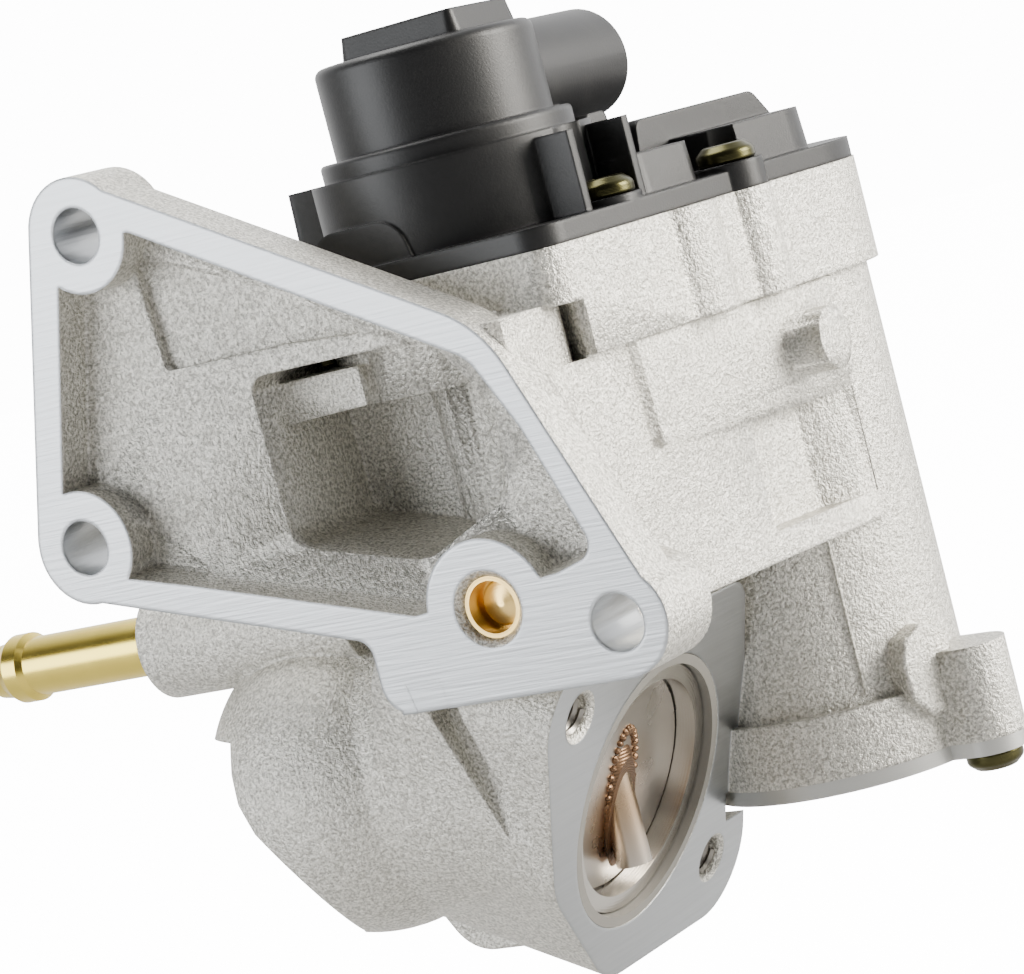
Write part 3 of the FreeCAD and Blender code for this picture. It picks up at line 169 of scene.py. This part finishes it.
def vector_node(tree, operation, a, b):
    """Vector math node; gives its vector and its value."""
    made = tree.nodes.new("ShaderNodeVectorMath")
    made.operation = operation
    for i, value in enumerate((a, b)):
        if isinstance(value, (tuple, Vector)):
            made.inputs[i].default_value = value
        else:
            tree.links.new(value, made.inputs[i])
    return made.outputs[0], made.outputs[1]


def noise(tree, place, scale, detail=3.0, rough=0.6):
    """Noise value at a place."""
    made = tree.nodes.new("ShaderNodeTexNoise")
    made.inputs["Scale"].default_value = scale
    made.inputs["Detail"].default_value = detail
    made.inputs["Roughness"].default_value = rough
    tree.links.new(place, made.inputs["Vector"])
    return made.outputs["Fac"]


def mix_colour(tree, mask, first, second):
    """First colour where the mask is 0, second where it is 1."""
    made = tree.nodes.new("ShaderNodeMix")
    made.data_type = "RGBA"
    for label, value in (("Factor", mask), ("A", first), ("B", second)):
        fits = [s for s in made.inputs if s.name == label]
        socket = fits[0] if label == "Factor" else [s for s in fits if s.type == "RGBA"][0]
        if isinstance(value, tuple):
            socket.default_value = value + (1.0,)
        elif isinstance(value, (int, float)):
            socket.default_value = value
        else:
            tree.links.new(value, socket)
    return [s for s in made.outputs if s.type == "RGBA"][0]


def mix_value(tree, mask, first, second):
    """First value where the mask is 0, second where it is 1."""
    change = math_node(tree, "SUBTRACT", second, first)
    return math_node(tree, "ADD", first, math_node(tree, "MULTIPLY", mask, change))


PLANE, enter, leave = node_group(
    "on_plane",
    (("Place", "NodeSocketVector", None), ("Facing", "NodeSocketVector", None),
     ("Point", "NodeSocketVector", None), ("Normal", "NodeSocketVector", None),
     ("Depth", "NodeSocketFloat", 0.0003)),
    (("Mask", "NodeSocketFloat"),),
)
offset = vector_node(PLANE, "SUBTRACT", enter.outputs["Place"], enter.outputs["Point"])[0]
height = vector_node(PLANE, "DOT_PRODUCT", offset, enter.outputs["Normal"])[1]
near = math_node(PLANE, "LESS_THAN", math_node(PLANE, "ABSOLUTE", height), enter.outputs["Depth"])
facing = vector_node(PLANE, "DOT_PRODUCT", enter.outputs["Facing"], enter.outputs["Normal"])[1]
same = math_node(PLANE, "GREATER_THAN", facing, 0.97)
PLANE.links.new(math_node(PLANE, "MULTIPLY", near, same), leave.inputs["Mask"])

AXIS, enter, leave = node_group(
    "round_axis",
    (("Place", "NodeSocketVector", None), ("Point", "NodeSocketVector", None),
     ("Axis", "NodeSocketVector", None), ("Radius", "NodeSocketFloat", 0.005)),
    (("Mask", "NodeSocketFloat"), ("Distance", "NodeSocketFloat")),
)
offset = vector_node(AXIS, "SUBTRACT", enter.outputs["Place"], enter.outputs["Point"])[0]
cross = vector_node(AXIS, "CROSS_PRODUCT", offset, enter.outputs["Axis"])[0]
length = AXIS.nodes.new("ShaderNodeVectorMath")
length.operation = "LENGTH"
AXIS.links.new(cross, length.inputs[0])
AXIS.links.new(length.outputs[1], leave.inputs["Distance"])
inside = math_node(AXIS, "LESS_THAN", length.outputs[1], enter.outputs["Radius"])
AXIS.links.new(inside, leave.inputs["Mask"])

GRAIN, enter, leave = node_group(
    "cast_grain",
    (("Place", "NodeSocketVector", None),),
    (("Height", "NodeSocketFloat"), ("Sparkle", "NodeSocketFloat"), ("Cloud", "NodeSocketFloat")),
)
fine = noise(GRAIN, enter.outputs["Place"], 1900.0, 2.0, 0.7)
middle = noise(GRAIN, enter.outputs["Place"], 620.0, 2.0, 0.5)
cloud = noise(GRAIN, enter.outputs["Place"], 45.0, 3.0, 0.5)
coarse = math_node(GRAIN, "MULTIPLY", middle, 0.8)
GRAIN.links.new(math_node(GRAIN, "ADD", fine, coarse), leave.inputs["Height"])
GRAIN.links.new(fine, leave.inputs["Sparkle"])
GRAIN.links.new(cloud, leave.inputs["Cloud"])
print("groups", [g.name for g in bpy.data.node_groups])

# %% [markdown]
# Every finish starts the same way: a Principled shader on the part's own coordinates. These helpers
# keep the recipes below short, and the last one hands a finish to a list of CAD solids.

# %% Material helpers
def group_node(tree, group, **values):
    """Uses a node group; each input is a socket or a value."""
    made = tree.nodes.new("ShaderNodeGroup")
    made.node_tree = group
    for label, value in values.items():
        if isinstance(value, bpy.types.NodeSocket):
            tree.links.new(value, made.inputs[label])
        else:
            made.inputs[label].default_value = value
    return made.outputs


def new_material(name, metallic, roughness, colour):
    """Material with a Principled shader; gives it with its tree, shader and Object coordinates."""
    made = bpy.data.materials.new(name)
    made.use_nodes = True
    tree = made.node_tree
    shader = tree.nodes["Principled BSDF"]
    shader.inputs["Metallic"].default_value = metallic
    shader.inputs["Roughness"].default_value = roughness
    shader.inputs["Base Color"].default_value = colour + (1.0,)
    place = tree.nodes.new("ShaderNodeTexCoord").outputs["Object"]
    return made, tree, shader, place


def bump(tree, shader, height, strength, distance, below=None):
    """Small relief on a shader, on top of another normal if one is given."""
    made = tree.nodes.new("ShaderNodeBump")
    made.inputs["Strength"].default_value = strength
    made.inputs["Distance"].default_value = distance
    tree.links.new(height, made.inputs["Height"])
    if below is not None:
        tree.links.new(below, made.inputs["Normal"])
    tree.links.new(made.outputs["Normal"], shader.inputs["Normal"])


def soft_edges(tree, radius):
    """Normal that rounds the edges of a piece by a radius."""
    edge = tree.nodes.new("ShaderNodeBevel")
    edge.samples = 6
    edge.inputs["Radius"].default_value = radius
    return edge.outputs["Normal"]


def dress(material, *names):
    """Gives CAD nodes a finish."""
    for name in names:
        slots = nodes[name].material_slots
        for slot in slots:
            slot.material = material
        if not slots:
            nodes[name].data.materials.append(material)
    print(material.name, "on", len(names))


# %% [markdown]
# The casting is grainy aluminium, blasted after it left the die. The flange face, the port face and
# the bolt holes are milled or drilled later, so they are smoother and have faint tool marks. Where a
# face is machined is worked out from planes and axes of the part, so no map has to be painted.

# %% Aluminium casting
HOLES = ((-79.4, 75.7), (-94.2, 26.8), (0.0, 0.0))
PORT_TILT = math.radians(25.0)
PORT_AXIS = Vector((math.cos(PORT_TILT), 0.0, -math.sin(PORT_TILT)))
PORT_UP = Vector((math.sin(PORT_TILT), 0.0, math.cos(PORT_TILT)))
PORT_CENTRE = Vector((-26.8, 40.0, -34.4)) * MM
SHAFT = Vector((-33.0, 40.0, 0.0)) * MM
CASE_YAW = math.radians(16.45)
MOTOR_REACH = 54.9
MOTOR = SHAFT + Vector((math.sin(CASE_YAW), math.cos(CASE_YAW), 0.0)) * MOTOR_REACH * MM
HOLE_REACH = 4.8 * MM
HOLE_DEPTH = 14.2 * MM
SEAM_HEIGHT = 47.0 * MM
SEAM_HALF = 0.25 * MM
GRAIN_DARK, GRAIN_LIGHT, GRAIN_CLOUD = (0.36, 0.35, 0.32), (0.92, 0.90, 0.84), (0.60, 0.58, 0.52)
MILLED_DARK, MILLED_LIGHT = (0.40, 0.415, 0.43), (0.50, 0.515, 0.53)


def cast_aluminium():
    """Grainy cast skin with milled faces and drilled holes."""
    made, tree, shader, place = new_material("cast_aluminium", 1.0, 0.5, (0.72, 0.71, 0.68))
    facing = tree.nodes.new("ShaderNodeNewGeometry").outputs["True Normal"]
    seen = {"Place": place, "Facing": facing}
    flange = group_node(tree, PLANE, **seen, Point=(0, 0, 0), Normal=(0, -1, 0))["Mask"]
    port = group_node(tree, PLANE, **seen, Point=PORT_CENTRE, Normal=PORT_AXIS)["Mask"]
    machined = math_node(tree, "MAXIMUM", flange, port)
    split = tree.nodes.new("ShaderNodeSeparateXYZ")
    tree.links.new(place, split.inputs[0])
    shallow = math_node(tree, "LESS_THAN", split.outputs["Y"], HOLE_DEPTH)
    for x, z in HOLES:
        hole = group_node(tree, AXIS, Place=place, Point=(x * MM, 0, z * MM), Axis=(0, 1, 0),
                          Radius=HOLE_REACH)["Mask"]
        machined = math_node(tree, "MAXIMUM", machined, math_node(tree, "MULTIPLY", hole, shallow))
    grain = group_node(tree, GRAIN, Place=place)
    marks = tree.nodes.new("ShaderNodeMapping")
    marks.inputs["Scale"].default_value = (30.0, 30.0, 900.0)
    marks.inputs["Rotation"].default_value = (0.0, 0.4, 0.0)
    tree.links.new(place, marks.inputs["Vector"])
    lines = noise(tree, marks.outputs["Vector"], 2.0, 2.0, 0.5)
    above = math_node(tree, "SUBTRACT", grain["Sparkle"], 0.36)
    speck = math_node(tree, "MULTIPLY", above, 3.6, clamp=True)
    cast_colour = mix_colour(tree, speck, GRAIN_DARK, GRAIN_LIGHT)
    haze = math_node(tree, "MULTIPLY", grain["Cloud"], 0.35)
    cast_colour = mix_colour(tree, haze, cast_colour, GRAIN_CLOUD)
    face_colour = mix_colour(tree, lines, MILLED_DARK, MILLED_LIGHT)
    tree.links.new(mix_colour(tree, machined, cast_colour, face_colour), shader.inputs["Base Color"])
    cast_rough = math_node(tree, "MULTIPLY_ADD", grain["Cloud"], 0.1, 0.46)
    tree.links.new(mix_value(tree, machined, cast_rough, 0.34), shader.inputs["Roughness"])
    from_seam = math_node(tree, "SUBTRACT", split.outputs["Z"], SEAM_HEIGHT)
    seam = math_node(tree, "LESS_THAN", math_node(tree, "ABSOLUTE", from_seam), SEAM_HALF)
    height = math_node(tree, "ADD", grain["Height"], math_node(tree, "MULTIPLY", seam, 1.5))
    height = mix_value(tree, machined, height, math_node(tree, "MULTIPLY", lines, 0.12))
    bump(tree, shader, height, 0.9, 0.42 * MM, soft_edges(tree, 0.9 * MM))
    return made


casting = cast_aluminium()
dress(casting, "housing")

# %% [markdown]
# The real elbow of the gas duct isn't a ball: its lower left is cut off flat, and the column carries
# one faceted lug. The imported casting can't be changed here, so a copy of it is cut with shaped blocks
# and stands in its place. A boolean keeps the edges as crisp as a casting's parting lines.

# %% Cutting tools
PICTURE_WIDE, PICTURE_HIGH = 1024.0, 974.0
FOCAL = camera_data.lens / camera_data.sensor_width * PICTURE_WIDE


def picture_point(across, down, through):
    """Point under one pixel of the photograph, at the depth of another point."""
    sideways = RIGHT * ((across - PICTURE_WIDE / 2) / FOCAL)
    ray = sideways - ABOVE * ((down - PICTURE_HIGH / 2) / FOCAL) - BEHIND
    depth = (CAMERA_PLACE - Vector(through)).dot(BEHIND)
    return CAMERA_PLACE + ray * depth


def pick(piece):
    """Makes one piece the only selected and active one."""
    bpy.ops.object.select_all(action="DESELECT")
    piece.select_set(True)
    bpy.context.view_layer.objects.active = piece


def prism(name, corners, run):
    """Closed block: a many-sided plate, its corners set, extruded along run."""
    bpy.ops.object.select_all(action="DESELECT")
    bpy.ops.mesh.primitive_circle_add(vertices=len(corners), radius=MM, fill_type="NGON")
    piece = bpy.context.object
    piece.name = name
    for point, corner in zip(piece.data.vertices, corners):
        point.co = corner
    bpy.ops.object.mode_set(mode="EDIT")
    bpy.ops.mesh.select_all(action="SELECT")
    bpy.ops.mesh.extrude_region_move(TRANSFORM_OT_translate={"value": tuple(run)})
    bpy.ops.mesh.select_all(action="SELECT")
    bpy.ops.mesh.normals_make_consistent(inside=False)
    bpy.ops.object.mode_set(mode="OBJECT")
    return piece


def carve(piece, tool, operation="DIFFERENCE"):
    """Boolean of a piece with a tool, which is used up."""
    pick(piece)
    cut = piece.modifiers.new("cut", "BOOLEAN")
    cut.operation = operation
    cut.solver = "EXACT"
    cut.object = tool
    bpy.ops.object.modifier_apply(modifier="cut")
    bpy.data.objects.remove(tool, do_unlink=True)


def pillar(name, place, radius, low, high, sides=96):
    """Upright round block between two heights."""
    middle = (place.x, place.y, (low + high) / 2 * MM)
    bpy.ops.object.select_all(action="DESELECT")
    bpy.ops.mesh.primitive_cylinder_add(vertices=sides, radius=radius * MM,
                                        depth=(high - low) * MM, location=middle)
    piece = bpy.context.object
    piece.name = name
    bpy.ops.object.transform_apply(location=True, rotation=True, scale=True)
    return piece


def settle(piece, body, material):
    """Finish, smooth skin and body of a new piece."""
    pick(piece)
    bpy.ops.object.mode_set(mode="EDIT")
    bpy.ops.mesh.select_all(action="SELECT")
    bpy.ops.mesh.quads_convert_to_tris(quad_method="BEAUTY", ngon_method="BEAUTY")
    bpy.ops.object.mode_set(mode="OBJECT")
    piece.data.materials.clear()
    piece.data.materials.append(material)
    bpy.ops.object.shade_smooth_by_angle(angle=math.radians(24.0))
    even = piece.modifiers.new("even", "WEIGHTED_NORMAL")
    even.keep_sharp = True
    even.weight = 90
    bpy.ops.object.modifier_apply(modifier="even")
    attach(piece, body)
    print(piece.name, "faces", len(piece.data.polygons))


def direction(degrees):
    """Level direction at an angle round the upright axis, and the one square to it."""
    way = Vector((math.cos(math.radians(degrees)), math.sin(math.radians(degrees)), 0.0))
    return way, Vector((-way.y, way.x, 0.0))


print("focal length in pixels", round(FOCAL, 1))


# %% [markdown]
# The copy has to be one closed skin before anything is cut from it, as a mould is closed before metal
# is poured. Corners that lie in the same place are merged, which closes the seams between facets.

# %% Copy of the casting
casting_skin = bpy.data.objects.new("casting_skin", nodes["housing"].data.copy())
bpy.context.scene.collection.objects.link(casting_skin)
pick(casting_skin)
bpy.ops.object.mode_set(mode="EDIT")
bpy.ops.mesh.select_all(action="SELECT")
bpy.ops.mesh.remove_doubles(threshold=1e-6)
bpy.ops.object.mode_set(mode="OBJECT")
print("copied corners", len(casting_skin.data.vertices))

# %% [markdown]
# On the real valve the pattern maker cut the elbow's corner off flat, to clear the engine. The cutter
# is a prism that runs along the camera's own axis, so its edges fall where the photo shows them.

# %% Flat cut on the elbow
ELBOW = Vector((-71.5, 30.0, -22.0)) * MM
outline = ((150, 738), (236, 738), (238, 768), (245, 797), (262, 825), (366, 925), (382, 1010),
           (150, 1010))
BEFORE, LONG = 0.05, 0.085
corners = [picture_point(a, d, ELBOW) + BEHIND * BEFORE for a, d in outline]
carve(casting_skin, prism("elbow_cut", corners, BEHIND * -LONG))
print("after the elbow cut", len(casting_skin.data.polygons))

# %% [markdown]
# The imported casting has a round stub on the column, turned a little too far round. A pillar larger than
# the stub takes it off, less two copies of the column and its collar, so the round wall stays whole.

# %% Lug on the motor column
COLUMN_R, COLLAR_R, COLLAR_TOP = 23.03, 25.23, -32.28
STUB = MOTOR + direction(-48.0)[0] * (24.0 * MM)
tool = pillar("stub_cut", STUB, 6.6, -36.5, -19.0)
carve(tool, pillar("column_keep", MOTOR, COLUMN_R, -60.0, 0.0, 256))
carve(tool, pillar("collar_keep", MOTOR, COLLAR_R, -60.0, COLLAR_TOP, 256))
carve(casting_skin, tool)
print("after the lug cut", len(casting_skin.data.polygons))

# %% [markdown]
# Two lumps of metal are still missing: the foot under the flange's lower edge, and the ledge that
# stands in the pocket. Both are added as blocks that are united with the skin, as they are cast with it.

# %% Foot of the flange
foot = ((-41.93, -8.63), (-31.07, -8.63), (-31.07, -2.57), (-41.93, -2.57))
corners = [Vector((x, 0.04, z)) * MM for x, z in foot]
carve(casting_skin, prism("flange_foot", corners, Vector((0.0, 6.41 * MM, 0.0))), "UNION")
ledge = ((272, 386), (357, 366), (367, 405), (289, 425))
LEDGE_DEPTH, LEDGE_LONG = 13.2 * MM, 14.0 * MM
front = []
for across, down in ledge:
    way = picture_point(across, down, (-0.05, 0.0135, 0.03)) - CAMERA_PLACE
    front.append(CAMERA_PLACE + way * ((LEDGE_DEPTH - CAMERA_PLACE.y) / way.y))
carve(casting_skin, prism("pocket_ledge", front, Vector((0.0, LEDGE_LONG, 0.0))), "UNION")
print("after the foot and the ledge", len(casting_skin.data.polygons))

# %% [markdown]
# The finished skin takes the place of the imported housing. Its normals are weighted by face area, so the
# large cast walls shade flat and only the narrow roundings look round. A milled face ends in a crisp
# rim, as the cutter leaves it, so the rims of both machined faces are marked as sharp first.

# %% Casting in its place
def crisp_rim(piece, facing, point):
    """Marks as sharp the rim of all flat faces that lie in one plane."""
    flat = [p for p in piece.data.polygons
            if p.normal.dot(facing) > 0.9995 and abs((p.center - point).dot(facing)) < 0.1 * MM]
    uses = {}
    for polygon in flat:
        for key in polygon.edge_keys:
            uses[key] = uses.get(key, 0) + 1
    for edge in piece.data.edges:
        if uses.get(edge.key) == 1:
            edge.use_edge_sharp = True
    print("rim edges", sum(n == 1 for n in uses.values()))


crisp_rim(casting_skin, Vector((0.0, -1.0, 0.0)), Vector((0.0, 0.0, 0.0)))
crisp_rim(casting_skin, PORT_AXIS, PORT_CENTRE)
settle(casting_skin, "body", casting)
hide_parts("housing")

# %% [markdown]
# The lug on the column is a faceted block that leans out of the wall. Eight corners give its face,
# a bevel softens its edges, and it is sunk into the column, so no gap shows.

# %% Faceted lug
lug_out, lug_side = direction(-24.0)
LUG_START = lug_out * (21.5 * MM)
face = ((-4.2, -23.4), (-5.6, -27.0), (-5.2, -33.6), (-1.6, -37.4), (4.6, -36.4), (5.6, -31.0),
        (4.8, -23.6), (0.0, -21.6))
corners = [MOTOR + lug_side * (s * MM) + LUG_START + Vector((0.0, 0.0, z * MM)) for s, z in face]
column_lug = prism("column_lug", corners, lug_out * (5.4 * MM))
soft = column_lug.modifiers.new("soft", "BEVEL")
soft.width = 0.7 * MM
soft.segments = 3
soft.limit_method = "ANGLE"
pick(column_lug)
bpy.ops.object.modifier_apply(modifier="soft")
settle(column_lug, "body", casting)

# %% [markdown]
# Where the two halves of the die met, a hair of metal was squeezed out. It runs down the column as a
# thin fin, so its section is a blade that is drawn out along the column.

# %% Die flash
flash_out, flash_side = direction(-49.9)
FLASH_FOOT = Vector((0.0, 0.0, -30.9 * MM))
section = ((-0.42, 22.6), (0.42, 22.6), (0.12, 23.55), (-0.12, 23.55))
corners = [MOTOR + flash_side * (s * MM) + flash_out * (r * MM) + FLASH_FOOT for s, r in section]
die_flash = prism("die_flash", corners, Vector((0.0, 0.0, 27.0 * MM)))
settle(die_flash, "body", casting)

# %% [markdown]
# The cover is a glass-filled black plastic, moulded with a fine matt skin. A little dust and a few
# scuffs lift the black. Noise is enough for both, because neither follows the shape.

# %% Black plastic
def black_plastic():
    """Matt black with faint scuffs and soft edges."""
    made, tree, shader, place = new_material("black_plastic", 0.0, 0.42, (0.008, 0.008, 0.009))
    scuff = noise(tree, place, 160.0, 4.0, 0.65)
    cloud = noise(tree, place, 30.0, 3.0, 0.5)
    above = math_node(tree, "SUBTRACT", scuff, 0.55, clamp=True)
    mark = math_node(tree, "MULTIPLY", above, 1.2, clamp=True)
    tone = mix_colour(tree, mark, (0.006, 0.006, 0.0065), (0.03, 0.029, 0.027))
    tree.links.new(tone, shader.inputs["Base Color"])
    tree.links.new(math_node(tree, "MULTIPLY_ADD", cloud, 0.16, 0.34), shader.inputs["Roughness"])
    skin = noise(tree, place, 2600.0, 2.0, 0.6)
    bump(tree, shader, skin, 0.25, 0.1 * MM, soft_edges(tree, 0.7 * MM))
    return made


dress(black_plastic(), "gear_cover", "magnet_cup", "motor_endbell", "motor_brush_plate")

# %% [markdown]
# The metals share one recipe with other values: a colour, a roughness, and fine turning marks
# that run round the axis of the piece.

# %% Metals
def turned_metal(name, colour, roughness, point, axis, marks=0.08, tint=None):
    """Metal with turning marks round an axis."""
    made, tree, shader, place = new_material(name, 1.0, roughness, colour)
    away = group_node(tree, AXIS, Place=place, Point=point, Axis=axis)["Distance"]
    rings = tree.nodes.new("ShaderNodeTexWave")
    spread = tree.nodes.new("ShaderNodeCombineXYZ")
    along = vector_node(tree, "DOT_PRODUCT", place, axis)[1]
    tree.links.new(math_node(tree, "ADD", away, along), spread.inputs["X"])
    tree.links.new(spread.outputs[0], rings.inputs["Vector"])
    rings.inputs["Scale"].default_value = 600.0
    rings.inputs["Distortion"].default_value = 1.5
    uneven = noise(tree, place, 120.0, 3.0, 0.5)
    darker = tuple(c * 0.8 for c in colour)
    tone = mix_colour(tree, uneven, darker, colour)
    if tint is not None:
        where, tint_colour = tint(tree, place)
        tone = mix_colour(tree, where, tone, tint_colour)
    tree.links.new(tone, shader.inputs["Base Color"])
    dull = math_node(tree, "MULTIPLY_ADD", uneven, 0.12, roughness - 0.05)
    tree.links.new(dull, shader.inputs["Roughness"])
    bump(tree, shader, rings.outputs["Fac"], marks, 0.05 * MM)
    return made


def weld_heat(tree, place):
    """Brown heat tint round the weld bead on the flap."""
    weld = SHAFT + Vector((0.0, 0.0, -0.035))
    gap = vector_node(tree, "DISTANCE", place, tuple(weld))[1]
    fading = math_node(tree, "MULTIPLY", gap, 1.0 / HEAT_REACH)
    return math_node(tree, "SUBTRACT", 1.0, fading, clamp=True), (0.36, 0.22, 0.10)


HEAT_REACH = 13.0 * MM
UP = (0.0, 0.0, 1.0)
ON_SHAFT, ON_MOTOR = (tuple(SHAFT), UP), (tuple(MOTOR), UP)
stainless = turned_metal("stainless_bore", (0.66, 0.63, 0.58), 0.24, PORT_CENTRE, PORT_AXIS, 0.15)
flap_steel = turned_metal("flap_steel", (0.56, 0.52, 0.47), 0.27, *ON_SHAFT, 0.05, weld_heat)
weld_steel = turned_metal("weld_steel", (0.20, 0.12, 0.07), 0.35, *ON_SHAFT, 0.9)
plain_steel = turned_metal("plain_steel", (0.56, 0.56, 0.55), 0.28, *ON_SHAFT)
wire_steel = turned_metal("wire_steel", (0.30, 0.30, 0.31), 0.35, *ON_SHAFT)
can_steel = turned_metal("can_steel", (0.52, 0.52, 0.50), 0.38, *ON_MOTOR)
cover_plate = turned_metal("cover_plate", (0.60, 0.60, 0.58), 0.42, *ON_MOTOR)
NIPPLE, PLUG = (0.0, 0.024, 0.006), (-0.0217, 0.0, 0.0054)
nipple_brass = turned_metal("nipple_brass", (0.88, 0.68, 0.14), 0.22, NIPPLE, (1.0, 0.0, 0.0))
plug_brass = turned_metal("plug_brass", (1.0, 0.70, 0.26), 0.28, PLUG, (0.0, 1.0, 0.0))
bronze = turned_metal("bronze", (0.55, 0.38, 0.20), 0.45, *ON_SHAFT)
copper = turned_metal("copper", (0.75, 0.42, 0.26), 0.3, *ON_MOTOR)
screw_zinc = turned_metal("screw_zinc", (0.075, 0.07, 0.03), 0.28, (0.0, 0.0, 0.0), UP)
magnet = turned_metal("magnet", (0.10, 0.10, 0.10), 0.5, *ON_MOTOR)
dress(stainless, "valve_sleeve")
dress(flap_steel, "flap_disc", "flap_shaft")
dress(weld_steel, "flap_weld")
dress(plain_steel, "flap_seal_ring", "bearing_outer", "bearing_inner", "bearing_cage",
      "motor_pinion", "intermediate_pin", "motor_rotor")
dress(wire_steel, "return_spring", "motor_spring")
dress(can_steel, "motor_can")
dress(cover_plate, "motor_cover")
dress(nipple_brass, "coolant_nipple")
dress(plug_brass, "brass_plug")
dress(bronze, "shaft_bush", "motor_bush")
dress(copper, "motor_blade_a", "motor_blade_b", *["connector_pin_%d" % i for i in range(1, 6)])
dress(screw_zinc, *["cover_screw_%d" % i for i in range(1, 7)])
dress(screw_zinc, *["motor_screw_%d" % i for i in range(1, 4)])
dress(magnet, "motor_magnet_a", "motor_magnet_b", "sensor_magnet")

# %% [markdown]
# Gears, seals and the sensor board are moulded or punched from plain plastics and rubber. They get
# one simple skin each, with a little unevenness.

# %% Plastics and rubber
def plain_skin(name, colour, roughness):
    """Plain coloured skin with a little unevenness."""
    made, tree, shader, place = new_material(name, 0.0, roughness, colour)
    uneven = noise(tree, place, 200.0, 3.0, 0.6)
    darker = tuple(c * 0.85 for c in colour)
    tree.links.new(mix_colour(tree, uneven, darker, colour), shader.inputs["Base Color"])
    bump(tree, shader, uneven, 0.1, 0.1 * MM)
    return made


dress(plain_skin("gear_plastic", (0.72, 0.68, 0.58), 0.45), "sector_gear", "intermediate_gear",
      "intermediate_pinion", "spring_guide")
dress(plain_skin("rubber", (0.025, 0.025, 0.025), 0.6), "shaft_seal", "motor_cover_seal",
      "cover_seal")
dress(plain_skin("port_ring", (0.20, 0.19, 0.17), 0.5), "port_seal_ring")
dress(plain_skin("board_green", (0.03, 0.16, 0.07), 0.4), "sensor_board")
dress(plain_skin("carbon", (0.04, 0.04, 0.04), 0.5), "motor_brush_a", "motor_brush_b")
paper = plain_skin("floor_paper", (0.60, 0.60, 0.60), 0.9)
paper_tree = paper.node_tree
glow = paper_tree.nodes["Principled BSDF"].inputs
glow["Emission Color"].default_value = (1.0, 1.0, 1.0, 1.0)
in_view = paper_tree.nodes.new("ShaderNodeLightPath").outputs["Is Camera Ray"]
strength = math_node(paper_tree, "MULTIPLY", in_view, PAPER_WHITE)
paper_tree.links.new(strength, glow["Emission Strength"])
floor.data.materials.append(paper)
print("floor papered")

# %% [markdown]
# The two M8 holes beside the gas port are tapped. A thread is one small triangle carried round the
# axis and along it: the Screw modifier does that in turns of the M8 pitch, 1.25 mm, and its two open
# ends are filled afterwards.

# %% Threads
def thread_lining(name, mouth):
    """Ridges of an M8 thread in a hole that runs back from its mouth."""
    ridge = ((2.95, 0.0), (3.38, 0.56), (3.38, -0.56))
    bpy.ops.object.select_all(action="DESELECT")
    bpy.ops.mesh.primitive_circle_add(vertices=3, radius=MM)
    piece = bpy.context.object
    piece.name = name
    for point, (x, z) in zip(piece.data.vertices, ridge):
        point.co = (x * MM, 0.0, z * MM)
    turns = piece.modifiers.new("turns", "SCREW")
    turns.axis = "Z"
    turns.screw_offset = M8_PITCH
    turns.iterations = 10
    turns.steps = turns.render_steps = 28
    bpy.ops.object.modifier_apply(modifier="turns")
    bpy.ops.object.mode_set(mode="EDIT")
    bpy.ops.mesh.select_all(action="SELECT")
    bpy.ops.mesh.fill_holes(sides=4)
    bpy.ops.mesh.select_all(action="SELECT")
    bpy.ops.mesh.normals_make_consistent(inside=False)
    bpy.ops.object.mode_set(mode="OBJECT")
    turned = PORT_AXIS.to_track_quat("Z", "Y").to_matrix().to_4x4()
    start = Vector(mouth) * MM - PORT_AXIS * THREAD_DEEP
    piece.matrix_world = Matrix.Translation(start) @ turned
    bpy.ops.object.transform_apply(location=True, rotation=True, scale=True)
    return piece


M8_PITCH, THREAD_DEEP = 1.25 * MM, 14.2 * MM
MOUTHS = {"thread_upper": (-17.925, 11.6, -15.367), "thread_lower": (-35.675, 68.4, -53.432)}
tapped = turned_metal("tapped_wall", (0.34, 0.32, 0.29), 0.35, PORT_CENTRE, PORT_AXIS, 0.05)
for name, mouth in MOUTHS.items():
    settle(thread_lining(name, mouth), "body", tapped)

# %% [markdown]
# The flap is welded to its shaft. A weld bead is a row of small frozen puddles, so one flattened
# ball is placed again and again round the slanted ring where the shaft leaves the disc.

# %% Weld bead
WELD_CENTRE = Vector((-33.0, 40.0, -31.5)) * MM + PORT_AXIS * (1.3 * MM)
WELD_WIDE, WELD_HIGH = 3.9, 9.2
PUDDLES = 34
ACROSS = Vector((0.0, 1.0, 0.0))
ripples = []
for k in range(PUDDLES):
    angle = 2.0 * math.pi * k / PUDDLES
    sideways, upward = ACROSS * (WELD_WIDE * MM), PORT_UP * (WELD_HIGH * MM)
    spot = sideways * math.cos(angle) + upward * math.sin(angle)
    way = ACROSS * (-WELD_WIDE * math.sin(angle)) + PORT_UP * (WELD_HIGH * math.cos(angle))
    bpy.ops.object.select_all(action="DESELECT")
    bpy.ops.mesh.primitive_uv_sphere_add(segments=12, ring_count=8, radius=1.05 * MM)
    puddle = bpy.context.object
    puddle.scale = (0.9, 0.9, 0.55 + 0.1 * (k % 3))
    puddle.rotation_mode = "QUATERNION"
    puddle.rotation_quaternion = way.to_track_quat("Z", "Y")
    puddle.location = WELD_CENTRE + spot
    bpy.ops.object.transform_apply(location=True, rotation=True, scale=True)
    ripples.append(puddle)
bpy.ops.object.select_all(action="DESELECT")
for puddle in ripples:
    puddle.select_set(True)
bpy.context.view_layer.objects.active = ripples[0]
bpy.ops.object.join()
weld_bead = bpy.context.object
weld_bead.name = "weld_bead"
settle(weld_bead, "flap", weld_steel)
